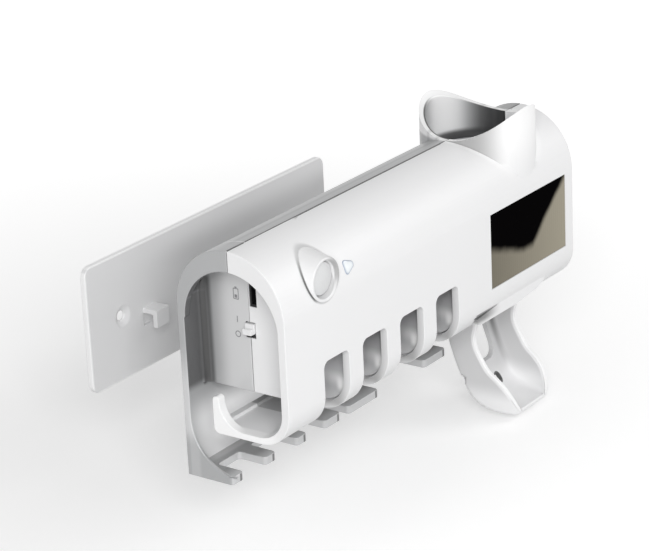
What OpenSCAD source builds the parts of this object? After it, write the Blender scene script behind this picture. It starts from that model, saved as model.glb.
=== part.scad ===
// Wall holder that keeps toothbrushes under ultraviolet lamps and feeds toothpaste.
// X runs along the holder, Y runs into the wall and Z points up. Millimetres.
// The origin is the middle of the wall plate's back face, where it meets the wall.

/* [Holder body] */
// Length of the holder
body_len = 240; // [225:1:270]
// Depth from the back to the front face
body_depth = 58; // [56:1:62]
// Height from the rack's underside to the top of the arch
body_height = 111; // [109:1:118]
// Thickness of the back wall and the rear skin
back_t = 3.3; // [2.6:0.1:3.6]
// Thickness of the front cover's skin
cover_t = 4; // [3.2:0.1:4.2]
// Gap at the seam between the two shells
seam_gap = 0.3; // [0.1:0.1:0.5]
// Thickness of the right end wall
end_t = 3; // [2:0.5:4]

/* [Open left end] */
// Length of the thick arch rib at the open end
rib_t = 4; // [3:0.5:6]
// Radius of the opening inside the arch rib
rib_r = 25.2; // [24:0.1:25.2]
// How far the opening's centre sits below the arch's centre
rib_drop = 6; // [3:0.5:7]
// Depth of the recess in front of the end panel
end_recess = 13.5; // [12:0.5:14]
// Thickness of the end panel
panel_t = 2.5; // [2:0.1:3]
// Height of the end panel's lower edge
panel_z = 41; // [38:0.5:44]
// Radius of the fillet between the end panel and the back wall
panel_fillet = 4; // [3:0.5:6]

/* [Gutter] */
// Height of the gutter's underside
gutter_z = 24; // [22:0.5:26]
// Thickness of the gutter's floor
gutter_t = 3; // [2.4:0.1:3.2]
// Outer radius of the front bottom corner
gutter_r = 16; // [13:0.5:16.5]
// Distance from the back of the holder to the gutter's rear edge
gutter_back = 16.3; // [15.5:0.1:17]
// Height of the lip along the gutter's rear edge, above its underside
lip_h = 4.4; // [3.8:0.1:6]
// Length of the curled hook at the open end
hook_len = 4.5; // [3:0.5:6]
// Height of the curled hook's tip
hook_tip_z = 41.4; // [40:0.1:43]
// Thickness of the curled hook and the lip
hook_t = 3.6; // [3:0.1:4.5]

/* [Brush windows] */
// Number of brush windows
window_count = 4; // [2:1:4]
// Distance from the open end to the first window
window_x = 27.3; // [24:0.1:29]
// Spacing of the windows
window_pitch = 29.65; // [27:0.05:30]
// Width of a window
window_w = 19; // [15:0.5:21]
// Height of a window's top edge
window_top = 55.5; // [52:0.5:56]
// Corner radius of a window
window_r = 3.5; // [2:0.5:5]
// How far each window's slot runs in from the front
window_depth = 24; // [18:1:30]

/* [Rack] */
// Thickness of the rack's shelf
rack_t = 4; // [3:0.5:5]
// Distance from the back of the holder to the prongs' tips
rack_reach = 25; // [22:0.5:28]
// Distance from the back of the holder to the slots' inner edge
rack_root = 10; // [8:0.5:12]
// Radius in the corners of the slots and prongs
rack_r = 2; // [1:0.5:2.5]
// Thickness of the end gusset
gusset_t = 1.6; // [1.2:0.1:3]
// Radius of the end gusset's hollow edge
gusset_r = 23.8; // [18:0.1:24]

/* [Tube collar] */
// Distance from the right end to the middle of the dispenser
disp_inset = 40; // [40:0.5:44]
// Outer radius of the collar
collar_r = 28; // [27:0.1:28]
// Inner radius of the collar
collar_bore_r = 25; // [24.5:0.1:25]
// How far the collar's front and back rise above the arch
collar_rise = 13.4; // [8:0.1:16]

/* [Solar panel] */
// Length of the solar panel
solar_len = 68; // [60:1:69]
// Height of the solar panel
solar_h = 36.8; // [30:0.1:37]
// Thickness of the solar panel
solar_t = 1.9; // [1.5:0.1:2.2]
// Height of the solar panel's lower edge
solar_z = 43.6; // [42:0.1:44]

/* [Motion sensor] */
// Distance from the open end to the sensor's middle
sensor_x = 30.8; // [30:0.1:34]
// Height of the sensor's middle above the arch's centre
sensor_up = 11.3; // [10:0.1:12]
// Outer radius of the sensor's rim
sensor_r = 10; // [9.6:0.1:10.5]
// How far the sensor's rim stands in front of the front face
sensor_rise = 0.7; // [0.3:0.1:1.5]
// Radius of the sensor's lens
lens_r = 7.5; // [6.8:0.1:7.8]
// Angle of the status light above level
light_tilt = 21; // [18:1:24]
// Distance from the sensor's middle to the status light's middle
light_dx = 20.3; // [18:0.1:21]

/* [Wall plate] */
// Length of the wall plate
plate_len = 189.5; // [170:0.5:210]
// Height of the wall plate
plate_h = 63; // [58:1:68]
// Thickness of the wall plate
plate_t = 3; // [2.5:0.1:4]
// Corner radius of the wall plate
plate_r = 5; // [2:0.5:8]
// Height of the plate's middle above the rack's underside
plate_z = 44; // [42:1:46]
// Gap between the pulled off holder and the plate
pull_off = 75; // [40:1:90]
// Spacing of the plate's two screw holes
screw_pitch = 139.4; // [130:0.1:145]
// Radius of the plate's screw holes
screw_hole_r = 2.4; // [2:0.1:2.6]
// Radius of the dish round a screw hole
dish_r = 6; // [5:0.1:7]
// Depth of the dish round a screw hole
dish_t = 1.8; // [1:0.1:2]
// Spacing of the two hooks
hook_pitch = 100.5; // [96:0.5:102]
// Width of a wall hook
hook_w = 9.6; // [8:0.1:11]
// Reach of a wall hook in front of the plate
hook_reach = 8; // [6:0.5:9]
// Height of a wall hook from its lip to its top
hook_h = 9; // [8:0.5:10]
// Thickness of a wall hook
hook_arm = 2.6; // [2:0.1:3]

/* [Dispenser] */
// Height of the pump's axis
pump_z = 55.5; // [54:0.5:56]
// Radius of the pump's bore
pump_bore_r = 7; // [6:0.1:7.5]
// Wall of the pump's barrel
pump_wall = 3; // [2:0.1:3]
// Reach of the pump's stroke, the same as the lever's arm times its turn
lever_arm = 21.5; // [20:0.5:22]
// Height of the lever's pin
pin_z = 34; // [33.5:0.1:35]
// Distance from the back of the holder to the lever's pin
pin_back = 14; // [13.5:0.1:14.5]
// Radius of the lever's pin
pin_r = 1.5; // [1.2:0.1:1.8]
// Half width of the push lever
lever_w = 19.5; // [18:0.1:20]
// Wall thickness of the push lever
lever_t = 2.4; // [1.8:0.1:2.8]
// Radius of the paste nozzle's mouth
nozzle_r = 2.5; // [2:0.1:3]

/* [Inside] */
// Thickness of the lamp tray's roof
tray_t = 2.5; // [2:0.1:3]
// Radius of the battery cell
cell_r = 9; // [8:0.5:9]
// Length of the battery cell
cell_len = 65; // [60:1:65]
// Thickness of the circuit boards
board_t = 1.6; // [1:0.1:2]
// Radius of the housing screws
screw_r = 1.45; // [1.2:0.05:1.6]
// Radius of the screw pillars
pillar_r = 3.5; // [3:0.1:4]
// Clearance between pieces that sit together
fit = 0.3; // [0.2:0.05:0.4]

/* [Hidden] */
$fn = 64;
eps = 0.01;
shell_white = [0.96, 0.96, 0.97];
shell_silver = [0.72, 0.73, 0.74];
plate_grey = [0.86, 0.86, 0.87];
board_green = [0.1, 0.4, 0.2];
steel = [0.7, 0.7, 0.72];

// The arch: a half round top over straight sides
out_r = body_depth / 2;
arch_z = body_height - out_r;
seam_y = -out_r;
front_y = -body_depth;
cover_y = front_y + cover_t;
cover_in_r = out_r - cover_t;
back_in_r = out_r - back_t;
rib_z = arch_z - rib_drop;
inner_z = gutter_z + gutter_t;
inner_r = gutter_r - gutter_t;
panel_in = end_recess + panel_t;
disp_x = body_len - disp_inset;
end_x = body_len - end_t;

// Lamp tray and the wall between the brush chamber and the dispenser
tray_gap = 3;
tray_z = window_top + tray_gap;
ledge_t = 2.2;
ledge_w = 3.5;
last_window = window_x + window_pitch * (window_count - 1);
split_t = 2.5;
split_x = last_window + window_w + 24;
tray_top = tray_z + tray_t;

// Screw pillars sit at these places along the holder
screw_z = tray_top + 7;
pillar_step = 78;
pillar_x = [panel_in + 20, split_x - pillar_step, split_x - 4, end_x - 5];
head_in = 1;
head_t = 2.2;
head_r = 2.7;
screw_len = out_r + 12;

// Wall hooks and the pockets that take them
hook_z = plate_z - 10;
hook_x = [body_len / 2 - hook_pitch / 2, body_len / 2 + hook_pitch / 2];
pocket_t = 1.4;
pocket_gap = 1;
pocket_up = 4;
pocket_y = hook_reach + 1;

// Dispenser stack, from the collar down to the nozzle
shelf_t = 2.4;
shelf_low_z = pump_z + pump_bore_r + pump_wall + 0.5;
socket_z = shelf_low_z + 26.5;
cup_r = 8.8;
cup_wall = 1.6;
cup_z = shelf_low_z + 6;
cup_h = 8;
inlet_r = 2;
inlet_boss_r = 4.2;
inlet_y = seam_y - 6;
barrel_r = pump_bore_r + pump_wall;
cup_low_z = pump_z + barrel_r + 0.5;
barrel_front = -body_depth + 7.5;
barrel_rear = barrel_front + 26;
cap_t = 2;
outlet_y = barrel_front + 7.5;
outlet_r = 6;
outlet_z = pump_z - barrel_r - 5.5;
valve_r = 4.4;
valve_t = 3.6;
nozzle_z = inner_z + 1;
piston_y = barrel_front + 17.9;
piston_t = 5;
rod_r = 3;
pad_r = 5;
pad_t = 2;
pin_y = -pin_back;
bar_r = 3;
bar_z = pin_z + lever_arm;
bar_y = pin_y + 3;
rod_end = bar_y - bar_r - fit;
bracket_t = 3.5;
bracket_gap = 0.4;
bracket_r = 4.6;

// Board, port and switch behind the open end's panel
board_y = seam_y + 2.4;
board_x1 = pillar_x[1] - 6;
board_z0 = tray_top + 1.5;
board_z1 = arch_z + 16;
post_low = 4;
port_y0 = seam_y - 4.5;
port_y1 = seam_y - 0.6;
port_z0 = arch_z - 0.6;
port_z1 = arch_z + 10.2;
port_deep = 7;
knob_w = 4.8;
knob_h = 4.6;
knob_travel = 2;
knob_z = arch_z - 13.1;
knob_out = 3.2;
knob_base = 1.1;
knob_ridge = 2.7;
knob_y = seam_y - 0.5;

// Motion sensor and status light
sensor_z = arch_z + sensor_up;
eye_front = body_depth + sensor_rise;
eye_flare = 0.2;
eye_back = out_r + 13;
eye_lip = 1.1;
lens_gap = 0.3;
lens_sink = 1.8;
lens_seat = 4;
lens_round = 40;
dish_in = 2.4;
eye_board_z = body_depth - 16.1;
pipe_len = 5.6;
pipe_back = out_r + 0.1 - pipe_len;
led_gap = 1.8;
eye_board_h = 8;
light_side = 1.65;
light_round = 1.6;

// The panel's wire leaves here
wire_x = disp_x - solar_len / 4;
wire_z = solar_z + solar_h / 2;
wire_hole_r = 2;
run_y = cover_y + 4;
run_z = tray_top + 1.5;

// Battery
cell_y = seam_y + 4;
cell_z = arch_z + 6;
cell_x = pillar_x[1] + 4;

// Push lever, listed from the hidden top to the toe:
// front rim y and z, back line y and z, half width as a share of the lever's
lever_rows = [
    [-38.2, 27, -19.2, 27, 1],
    [-37.6, 15, -19.6, 12, 1],
    [-36.3, 8, -20.6, 4.5, 1],
    [-37.2, 3, -22.6, -2, 1],
    [-40.4, -3, -25.1, -8.8, 1],
    [-43.8, -8, -28.4, -16.3, 0.99],
    [-48.6, -11.9, -33.2, -24.2, 0.97],
    [-52.8, -16.4, -40.5, -28.7, 0.93],
    [-55.6, -21.5, -48.2, -30.3, 0.85],
    [-57.2, -26.4, -54.6, -30.6, 0.74],
    [-57.6, -28.4, -57, -30.4, 0.64]];
lever_sides = 24;
scoop_back = -20;
scoop_win_w = 23;
scoop_win_r = 6;
scoop_win_z0 = -12.5;
scoop_win_z1 = 13;
drain_dx = 5;
drain_r = 2.1;
notch_w = 2.7;
notch_y = -30.6;
notch_z0 = -17.4;
notch_z1 = -13;
lever_square = 20;
lever_inner_square = 9;

// Places a child in the holder's own frame: x from its left end, y from its back, z from its rack
module at_body() {
    translate([-body_len / 2, -plate_t - pull_off, -plate_z]) children();
}

// Extrudes a (y, z) shape along x
module along_x(x0, len) {
    translate([x0, 0, 0]) rotate([90, 0, 90]) linear_extrude(len) children();
}

// Extrudes an (x, z) shape towards the front, starting at y0
module to_front(y0, len) {
    translate([0, y0, 0]) rotate([90, 0, 0]) linear_extrude(len) children();
}

// A place on the arch's skin: local z points out of the skin, local y runs up along it
module on_skin(x, tilt) {
    translate([x, seam_y, arch_z]) rotate([90 - tilt, 0, 0]) children();
}

// A plain box between two corners
module block(a, b) {
    translate(a) cube(b - a);
}

// A rectangle with rounded corners between two corners
module soft_rect(x0, y0, x1, y1, r) {
    translate([x0 + r, y0]) square([x1 - x0 - 2 * r, y1 - y0]);
    translate([x0, y0 + r]) square([x1 - x0, y1 - y0 - 2 * r]);
    for (x = [x0 + r, x1 - r], y = [y0 + r, y1 - r]) translate([x, y]) circle(r);
}

// The piece that a round corner leaves over: corner at (x, y), body towards (sx, sy)
module spandrel(x, y, r, sx, sy) {
    translate([x, y]) difference() {
        translate([sx > 0 ? -eps : -r, sy > 0 ? -eps : -r]) square(r + eps);
        translate([sx * r, sy * r]) circle(r);
    }
}

// The holder's outline from the side
module outline() {
    translate([seam_y, arch_z]) circle(out_r);
    translate([front_y, 0]) square([body_depth, arch_z]);
}

// The inside of an arch of radius r, down to height z
module arch_inside(r, z) {
    translate([seam_y, arch_z]) circle(r);
    translate([seam_y - r, z]) square([2 * r, arch_z - z]);
}

module rear_half() {
    translate([seam_y, -eps]) square([out_r + eps, body_height + 1]);
}

module front_half() {
    translate([front_y - eps, gutter_z]) square([out_r + eps - seam_gap, body_height - gutter_z + 1]);
}

// The collar that takes the toothpaste tube, with its saddle shaped rim
module collar() {
    saddle_r = (collar_r * collar_r + collar_rise * collar_rise) / (2 * collar_rise);
    difference() {
        translate([disp_x, seam_y, arch_z]) cylinder(h = out_r + collar_rise + 2, r = collar_r);
        translate([disp_x, seam_y, arch_z - 1]) cylinder(h = out_r + collar_rise + 4, r = collar_bore_r);
        translate([disp_x - collar_r - 2, seam_y, body_height + saddle_r]) rotate([0, 90, 0])
            cylinder(h = 2 * collar_r + 4, r = saddle_r);
        translate([disp_x, seam_y, body_height + saddle_r]) translate([-collar_r - 2, -saddle_r, 0])
            cube([2 * collar_r + 4, 2 * saddle_r, saddle_r]);
    }
}

// Both shells open under the collar
module collar_way() {
    translate([disp_x, seam_y, arch_z + 2]) cylinder(h = out_r + collar_rise, r = collar_bore_r);
}

// A shelf across the dispenser, in the (x, y) plane, with a round hole for what stands in it
module disp_shelf(y0, y1, z, hole_r) {
    difference() {
        block([split_x, y0, z], [end_x + eps, y1, z + shelf_t]);
        translate([disp_x, seam_y, z - 1]) cylinder(h = shelf_t + 2, r = hole_r);
    }
}

// Prongs of the rack as stretches along x, from the open end
rack_end = last_window + window_w + 37.2;
prongs = [[0, 8.4], [24.4, 32.5], [48.4, 56.4], [70.4, 83], [89.6, 114.2], [rack_end - 19.3, rack_end]];

module rack() {
    linear_extrude(rack_t) {
        translate([0, -rack_root]) square([rack_end, rack_root]);
        for (p = prongs) {
            translate([p[0], -rack_reach + rack_r]) square([p[1] - p[0], rack_reach - rack_root]);
            translate([p[0] + rack_r, -rack_reach]) square([p[1] - p[0] - 2 * rack_r, 2 * rack_r]);
            for (x = [p[0] + rack_r, p[1] - rack_r]) translate([x, -rack_reach + rack_r]) circle(rack_r);
        }
        for (k = [0:len(prongs) - 2]) {
            spandrel(prongs[k][1], -rack_root, rack_r, 1, -1);
            spandrel(prongs[k + 1][0], -rack_root, rack_r, -1, -1);
        }
    }
    along_x(0, gusset_t) spandrel(-back_t, rack_t, gusset_r, -1, 1);
}

// Closed pocket behind each slot in the back wall
module hook_pockets(grow) {
    for (x = hook_x) {
        w = hook_w / 2 + pocket_gap + grow;
        block([x - w, -pocket_y - grow, hook_z - pocket_gap - grow],
            [x + w, grow > 0 ? -back_t + eps : 1, hook_z + hook_h + pocket_up + grow]);
    }
}

module rear_housing() {
    color(shell_silver) at_body() difference() {
        union() {
            difference() {
                along_x(0, body_len) intersection() {
                    difference() {
                        outline();
                        arch_inside(back_in_r, -1);
                    }
                    rear_half();
                }
                collar_way();
            }
            along_x(0, rib_t) intersection() {
                difference() {
                    outline();
                    translate([seam_y, rib_z]) circle(rib_r);
                    translate([seam_y - rib_r, -1]) square([2 * rib_r, rib_z + 1]);
                    translate([seam_y, -1]) square([out_r - back_t, rib_z + 1]);
                }
                rear_half();
            }
            along_x(end_recess, panel_t) intersection() {
                arch_inside(back_in_r + eps, panel_z);
                rear_half();
            }
            intersection() {
                translate([0, 0, panel_z]) linear_extrude(body_height - panel_z)
                    spandrel(end_recess, -back_t, panel_fillet, -1, -1);
                along_x(end_recess - panel_fillet - 1, panel_fillet + 2) arch_inside(back_in_r + eps, panel_z);
            }
            along_x(end_x, end_t) cross_wall(gutter_z);
            along_x(split_x, split_t) cross_wall(inner_z);
            intersection() {
                collar();
                block([0, seam_y, 0], [body_len, 1, body_height + 2 * collar_rise]);
            }
            rack();
            hook_pockets(pocket_t);
            block([panel_in - eps, -back_t - ledge_w, tray_z - fit - ledge_t],
                [split_x + eps, -back_t + eps, tray_z - fit]);
            for (x = pillar_x) translate([x, -eps, screw_z]) rotate([90, 0, 0])
                cylinder(h = out_r - eps, r = pillar_r);
            intersection() {
                for (x = [panel_in + 8, board_x1 - 6]) translate([x, -back_t / 2, board_z1 - post_low])
                    rotate([90, 0, 0]) cylinder(h = -board_y - board_t - back_t / 2, r = 2.5);
                along_x(panel_in, board_x1) arch_inside(out_r - back_t / 2, 0);
            }
            disp_shelf(seam_y, -back_t + eps, shelf_low_z, cup_r + cup_wall + fit);
            disp_shelf(seam_y, -back_t + eps, socket_z, collar_bore_r - 2.2);
            for (s = [-1, 1]) pin_bracket(s);
        }
        hook_pockets(0);
        for (x = pillar_x) {
            translate([x, 1, screw_z]) rotate([90, 0, 0]) cylinder(h = out_r + 2, r = screw_r + 0.15);
            translate([x, 1, screw_z]) rotate([90, 0, 0]) cylinder(h = 1 + head_in + head_t, r = head_r + 0.2);
        }
        for (s = [-1, 1]) translate([disp_x + s * (lever_w + 2), pin_y, pin_z])
            rotate([0, 90, 0]) cylinder(h = 12, r = pin_r + 0.05, center = true);
        switch_window(seam_y, -back_t);
    }
}

// Rear half of a wall across the holder, clear of the cover's gutter and lip
module cross_wall(z) {
    difference() {
        intersection() {
            arch_inside(back_in_r + eps, z);
            rear_half();
        }
        translate([front_y, z - 1]) square([body_depth - gutter_back + fit, gutter_z + lip_h + fit - z + 1]);
    }
}

// Ear that holds one end of the lever's pin
module pin_bracket(side) {
    x0 = disp_x + side * (lever_w + bracket_gap + bracket_t / 2) - bracket_t / 2;
    along_x(x0, bracket_t) {
        translate([pin_y, pin_z]) circle(bracket_r);
        translate([pin_y, pin_z - bracket_r]) square([pin_back - back_t + eps, 2 * bracket_r]);
    }
}

// Opening in the end panel for the slide switch
module switch_window(y0, y1) {
    block([end_recess - 1, max(y0, knob_y - knob_w / 2 - fit), knob_z - knob_travel - fit],
        [panel_in + 1, min(y1, knob_y + knob_w / 2 + fit), knob_z + knob_h + 2 * fit]);
}

// The curled gutter, as a (y, z) shape
module gutter_shape() {
    translate([front_y, gutter_z]) square([body_depth - gutter_back, gutter_t]);
    translate([-gutter_back - hook_t, gutter_z]) square([hook_t, lip_h]);
}

// The hook that the gutter's end curls up into
module end_hook() {
    along_x(0, hook_len) difference() {
        union() {
            translate([-gutter_back - hook_t, gutter_z]) square([hook_t, hook_tip_z - gutter_z - hook_t / 2]);
            translate([-gutter_back - hook_t / 2, hook_tip_z - hook_t / 2]) circle(hook_t / 2);
            spandrel(-gutter_back - hook_t, inner_z, hook_tip_z - hook_t / 2 - inner_z, -1, 1);
        }
        spandrel(-gutter_back, gutter_z, 4.5, -1, 1);
    }
}

// Front and bottom walls of the cover, with its arch
module cover_shape() {
    difference() {
        intersection() {
            outline();
            front_half();
        }
        difference() {
            arch_inside(cover_in_r, inner_z);
            spandrel(cover_y, inner_z, inner_r, 1, 1);
        }
        spandrel(front_y, gutter_z, gutter_r, 1, 1);
    }
}

// Front half of a wall across the holder
module front_cross_wall() {
    difference() {
        intersection() {
            arch_inside(cover_in_r + eps, gutter_z + 1);
            front_half();
        }
        spandrel(front_y, gutter_z, gutter_r, 1, 1);
    }
}

module brush_windows() {
    for (k = [0:window_count - 1]) {
        x0 = window_x + k * window_pitch;
        x1 = x0 + window_w;
        to_front(cover_y + inner_r, cover_t + inner_r + 1)
            soft_rect(x0, gutter_z - 10, x1, window_top, window_r);
        translate([0, 0, gutter_z - 1]) linear_extrude(gutter_t + 1.5)
            soft_rect(x0, front_y - 10, x1, front_y + window_depth, window_r);
    }
}

// Opening in the gutter for the push lever
lever_way = 6;
way_front = front_y + 10;
module lever_opening() {
    translate([0, 0, gutter_z - 1]) linear_extrude(gutter_t + lip_h + 2)
        soft_rect(disp_x - lever_w - lever_way, way_front, disp_x + lever_w + lever_way, 10, 3);
}

// Skirt under the front edge, in front of the lever
skirt_drop = 4;
skirt_in = 1.4;
skirt_y = front_y + skirt_in;
skirt_crease_z = gutter_z + gutter_r - sqrt(pow(gutter_r, 2) - pow(gutter_r - skirt_in, 2));
module lever_skirt() {
    x0 = disp_x - lever_w - 28;
    x1 = disp_x + lever_w - 3.5;
    z1 = skirt_crease_z + 0.6;
    z0 = gutter_z + skirt_drop;
    to_front(skirt_y + 2, 2) polygon([[x0 + 1, z1], [x0, z1 - 2], [x0 + 0.6, z0 + 1], [x0 + 2.5, z0],
        [x0 + 37, z0 - 0.2], [x1 - 9, z0 + 1.4], [x1 - 2.5, z1 - 2.6], [x1, z1]]);
}

// A place on the sensor's axis: local z runs out of the front, from the holder's back
module at_sensor(dx, dz) {
    translate([sensor_x + dx, 0, sensor_z + dz]) rotate([90, 0, 0]) children();
}

// Flared boss that runs out of the arch and carries the motion sensor
module sensor_boss() {
    difference() {
        at_sensor(0, 0) translate([0, 0, eye_back]) cylinder(h = eye_front - eye_back,
            r1 = sensor_r + eye_flare * (eye_front - eye_back), r2 = sensor_r);
        along_x(sensor_x - 30, 60) arch_inside(cover_in_r, panel_z);
    }
}

// Posts inside the arch that hold the sensor's board
module sensor_posts() {
    intersection() {
        for (p = [[-8.5, -6], [13.5, 6]]) at_sensor(p[0], p[1]) translate([0, 0, eye_board_z + board_t])
            cylinder(h = body_depth - eye_board_z, r = 2.2);
        along_x(0, body_len) translate([seam_y, arch_z]) circle(out_r - cover_t / 2);
    }
}

// Groove that sets the skirt off from the front
module skirt_groove() {
    x0 = disp_x - lever_w - 30;
    z0 = skirt_crease_z - 2.1;
    to_front(skirt_y + 1.4, 5) polygon([[x0, z0], [x0 + 20, z0 + 1.7], [x0 + 20.4, z0 + 2.3], [x0, z0 + 1.5]]);
}

module light_shape(grow) {
    offset(r = light_round + grow, $fn = 32)
        polygon([[-light_side, -light_side], [light_side + 0.6, 0.2], [-light_side, light_side]]);
}

module front_cover() {
    color(shell_white) at_body() difference() {
        union() {
            difference() {
                union() {
                    along_x(0, body_len) cover_shape();
                    sensor_boss();
                }
                collar_way();
            }
            along_x(0, body_len) difference() {
                gutter_shape();
                spandrel(-gutter_back, gutter_z, 3, -1, 1);
                spandrel(front_y, gutter_z, gutter_r, 1, 1);
            }
            end_hook();
            along_x(0, rib_t) intersection() {
                difference() {
                    outline();
                    translate([seam_y, rib_z]) circle(rib_r);
                    translate([seam_y - rib_r, -1]) square([2 * rib_r, rib_z + 1]);
                    spandrel(front_y, gutter_z, gutter_r, 1, 1);
                }
                front_half();
            }
            along_x(end_recess, panel_t) intersection() {
                arch_inside(cover_in_r + eps, panel_z);
                front_half();
            }
            along_x(end_x, end_t) front_cross_wall();
            along_x(split_x, split_t) front_cross_wall();
            intersection() {
                collar();
                block([0, front_y, 0], [body_len, seam_y - seam_gap, body_height + 2 * collar_rise]);
            }
            block([panel_in - eps, cover_y - eps, window_top + 0.5],
                [split_x, cover_y + ledge_w, tray_z - fit]);
            for (x = pillar_x) translate([x, seam_y - seam_gap, screw_z]) rotate([90, 0, 0])
                cylinder(h = out_r - seam_gap - cover_t + eps, r = pillar_r);
            intersection() {
                union() {
                    disp_shelf(cover_y - eps, seam_y - seam_gap, shelf_low_z, cup_r + cup_wall + fit);
                    disp_shelf(cover_y - eps, seam_y - seam_gap, socket_z, collar_bore_r - 2.2);
                }
                along_x(0, body_len) outline();
            }
            sensor_posts();
            lever_skirt();
        }
        skirt_groove();
        brush_windows();
        lever_opening();
        block([disp_x - solar_len / 2 - 1.5 - fit, front_y - 1, solar_z - fit],
            [disp_x + solar_len / 2 - 1.5 + fit, front_y + solar_t + fit, solar_z + solar_h + fit]);
        translate([wire_x, cover_y + 1, wire_z]) rotate([90, 0, 0]) cylinder(h = cover_t + 1, r = wire_hole_r);
        translate([split_x - 1, run_y, run_z]) rotate([0, 90, 0]) cylinder(h = split_t + 2, r = wire_hole_r);
        block([end_recess - 1, port_y0, port_z0], [panel_in + 1, port_y1, port_z1]);
        switch_window(front_y, seam_y - seam_gap + 1);
        for (x = pillar_x) translate([x, seam_y + 1, screw_z]) rotate([90, 0, 0])
            cylinder(h = 19, r = screw_r - 0.15);
        at_sensor(0, 0) {
            translate([0, 0, eye_front - dish_in])
                cylinder(h = dish_in + eps, r1 = lens_r + lens_gap, r2 = sensor_r - eye_lip);
            translate([0, 0, eye_front - lens_seat]) cylinder(h = 3, r = lens_r + lens_gap);
            translate([0, 0, eye_front - 14]) cylinder(h = 12, r = lens_r - 1.2);
        }
        on_skin(sensor_x + light_dx, light_tilt) translate([0, 0, out_r - 6])
            linear_extrude(8) light_shape(0.08);
    }
}

module housing_screws() {
    color(steel) at_body() for (x = pillar_x) translate([x, -head_in, screw_z]) rotate([90, 0, 0]) difference() {
        union() {
            cylinder(h = head_t, r = head_r);
            cylinder(h = screw_len, r = screw_r - 0.15);
        }
        for (a = [0, 90]) rotate([0, 0, a]) translate([-head_r * 0.6, -0.4, -eps])
            cube([head_r * 1.2, 0.8, 1.2]);
    }
}

// Roof over the brushes that carries the lamps, with a rib hanging down beside each window
lamp_y = seam_y - 11;
lamp_hole_r = 4;
liner_rib_t = 1.6;
module chamber_liner() {
    color(shell_silver) at_body() difference() {
        union() {
            block([panel_in + fit, cover_y + fit, tray_z], [split_x - fit, -back_t - fit, tray_top]);
            for (k = [0:window_count - 1])
                along_x(window_x + k * window_pitch + window_w + 2.4, liner_rib_t) difference() {
                    translate([cover_y + fit, inner_z + fit])
                        square([-gutter_back - hook_t - fit - cover_y - fit, tray_z - inner_z]);
                    spandrel(cover_y + fit, inner_z + fit, inner_r, 1, 1);
                    translate([cover_y - 1, window_top + 0.2]) square([ledge_w + 1.6, tray_z - window_top - 0.2]);
                }
        }
        for (k = [0:window_count - 1])
            translate([window_x + window_w / 2 + k * window_pitch, lamp_y, tray_z - 1])
                cylinder(h = tray_t + 2, r = lamp_hole_r);
    }
}

module uv_board() {
    color(board_green) at_body() block([window_x, lamp_y - 6, tray_top + 0.2],
        [last_window + window_w, lamp_y + 6, tray_top + 0.2 + board_t]);
}

module uv_lamps() {
    color("gold") at_body() for (k = [0:window_count - 1])
        translate([window_x + window_w / 2 + k * window_pitch, lamp_y, tray_top + 0.2 - 0.6])
            cube([3.5, 3.5, 1.2], center = true);
}

module uv_windows() {
    color([0.7, 0.75, 1, 0.5]) at_body() for (k = [0:window_count - 1])
        translate([window_x + window_w / 2 + k * window_pitch, lamp_y, tray_z + 0.1])
            cylinder(h = 1, r = lamp_hole_r - 0.1);
}

module main_board() {
    color(board_green) at_body() difference() {
        block([panel_in + 1, board_y, board_z0], [board_x1, board_y + board_t, board_z1]);
        translate([pillar_x[0], board_y + 5, screw_z]) rotate([90, 0, 0]) cylinder(h = 10, r = pillar_r + 0.5);
    }
}

// Chips, coil, capacitors and plug sockets on the board's front
chip_x = board_x1 - 23.25;
chip_z = board_z0 + 14;
chip_t = 1.2;
plug_w = 6;
plug_x = board_x1 - 5;
plug_y = board_y - 6;
module board_parts() {
    color([0.12, 0.12, 0.13]) at_body() {
        block([chip_x, board_y - chip_t, chip_z], [chip_x + 8, board_y, chip_z + 8]);
        block([chip_x - 10, board_y - chip_t, chip_z + 8], [chip_x - 5, board_y, chip_z + 12]);
        translate([chip_x - 4, board_y, board_z0 + 11]) rotate([90, 0, 0]) cylinder(h = 4, r = 3.5);
        for (z = [board_z1 - 15.5, board_z1 - 8.5]) translate([chip_x + 14, board_y, z]) rotate([90, 0, 0])
            cylinder(h = 8, r = 2.5);
        block([plug_x - plug_w / 2, plug_y, board_z0 + 6], [plug_x + plug_w / 2, board_y, board_z0 + 14]);
        block([chip_x, plug_y, board_z0 + 2], [chip_x + 8, board_y, board_z0 + 7]);
    }
}

module battery_cell() {
    color([0.2, 0.45, 0.75]) at_body() translate([cell_x, cell_y, cell_z]) rotate([0, 90, 0]) {
        cylinder(h = cell_len, r = cell_r);
        translate([0, 0, cell_len - eps]) cylinder(h = 1.2, r = 2.8);
    }
}

module battery_cradle() {
    color([0.15, 0.15, 0.16]) at_body() difference() {
        union() {
            block([cell_x + 3, cell_y - 8, tray_top + 0.2], [cell_x + cell_len - 3, cell_y + 8, tray_top + 2.2]);
            for (x = [cell_x + 6, cell_x + cell_len - 12])
                block([x, cell_y - 8, tray_top + 0.2], [x + 6, cell_y + 8, cell_z - 3]);
        }
        translate([cell_x - 1, cell_y, cell_z]) rotate([0, 90, 0]) cylinder(h = cell_len + 2, r = cell_r + 0.2);
    }
}

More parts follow.
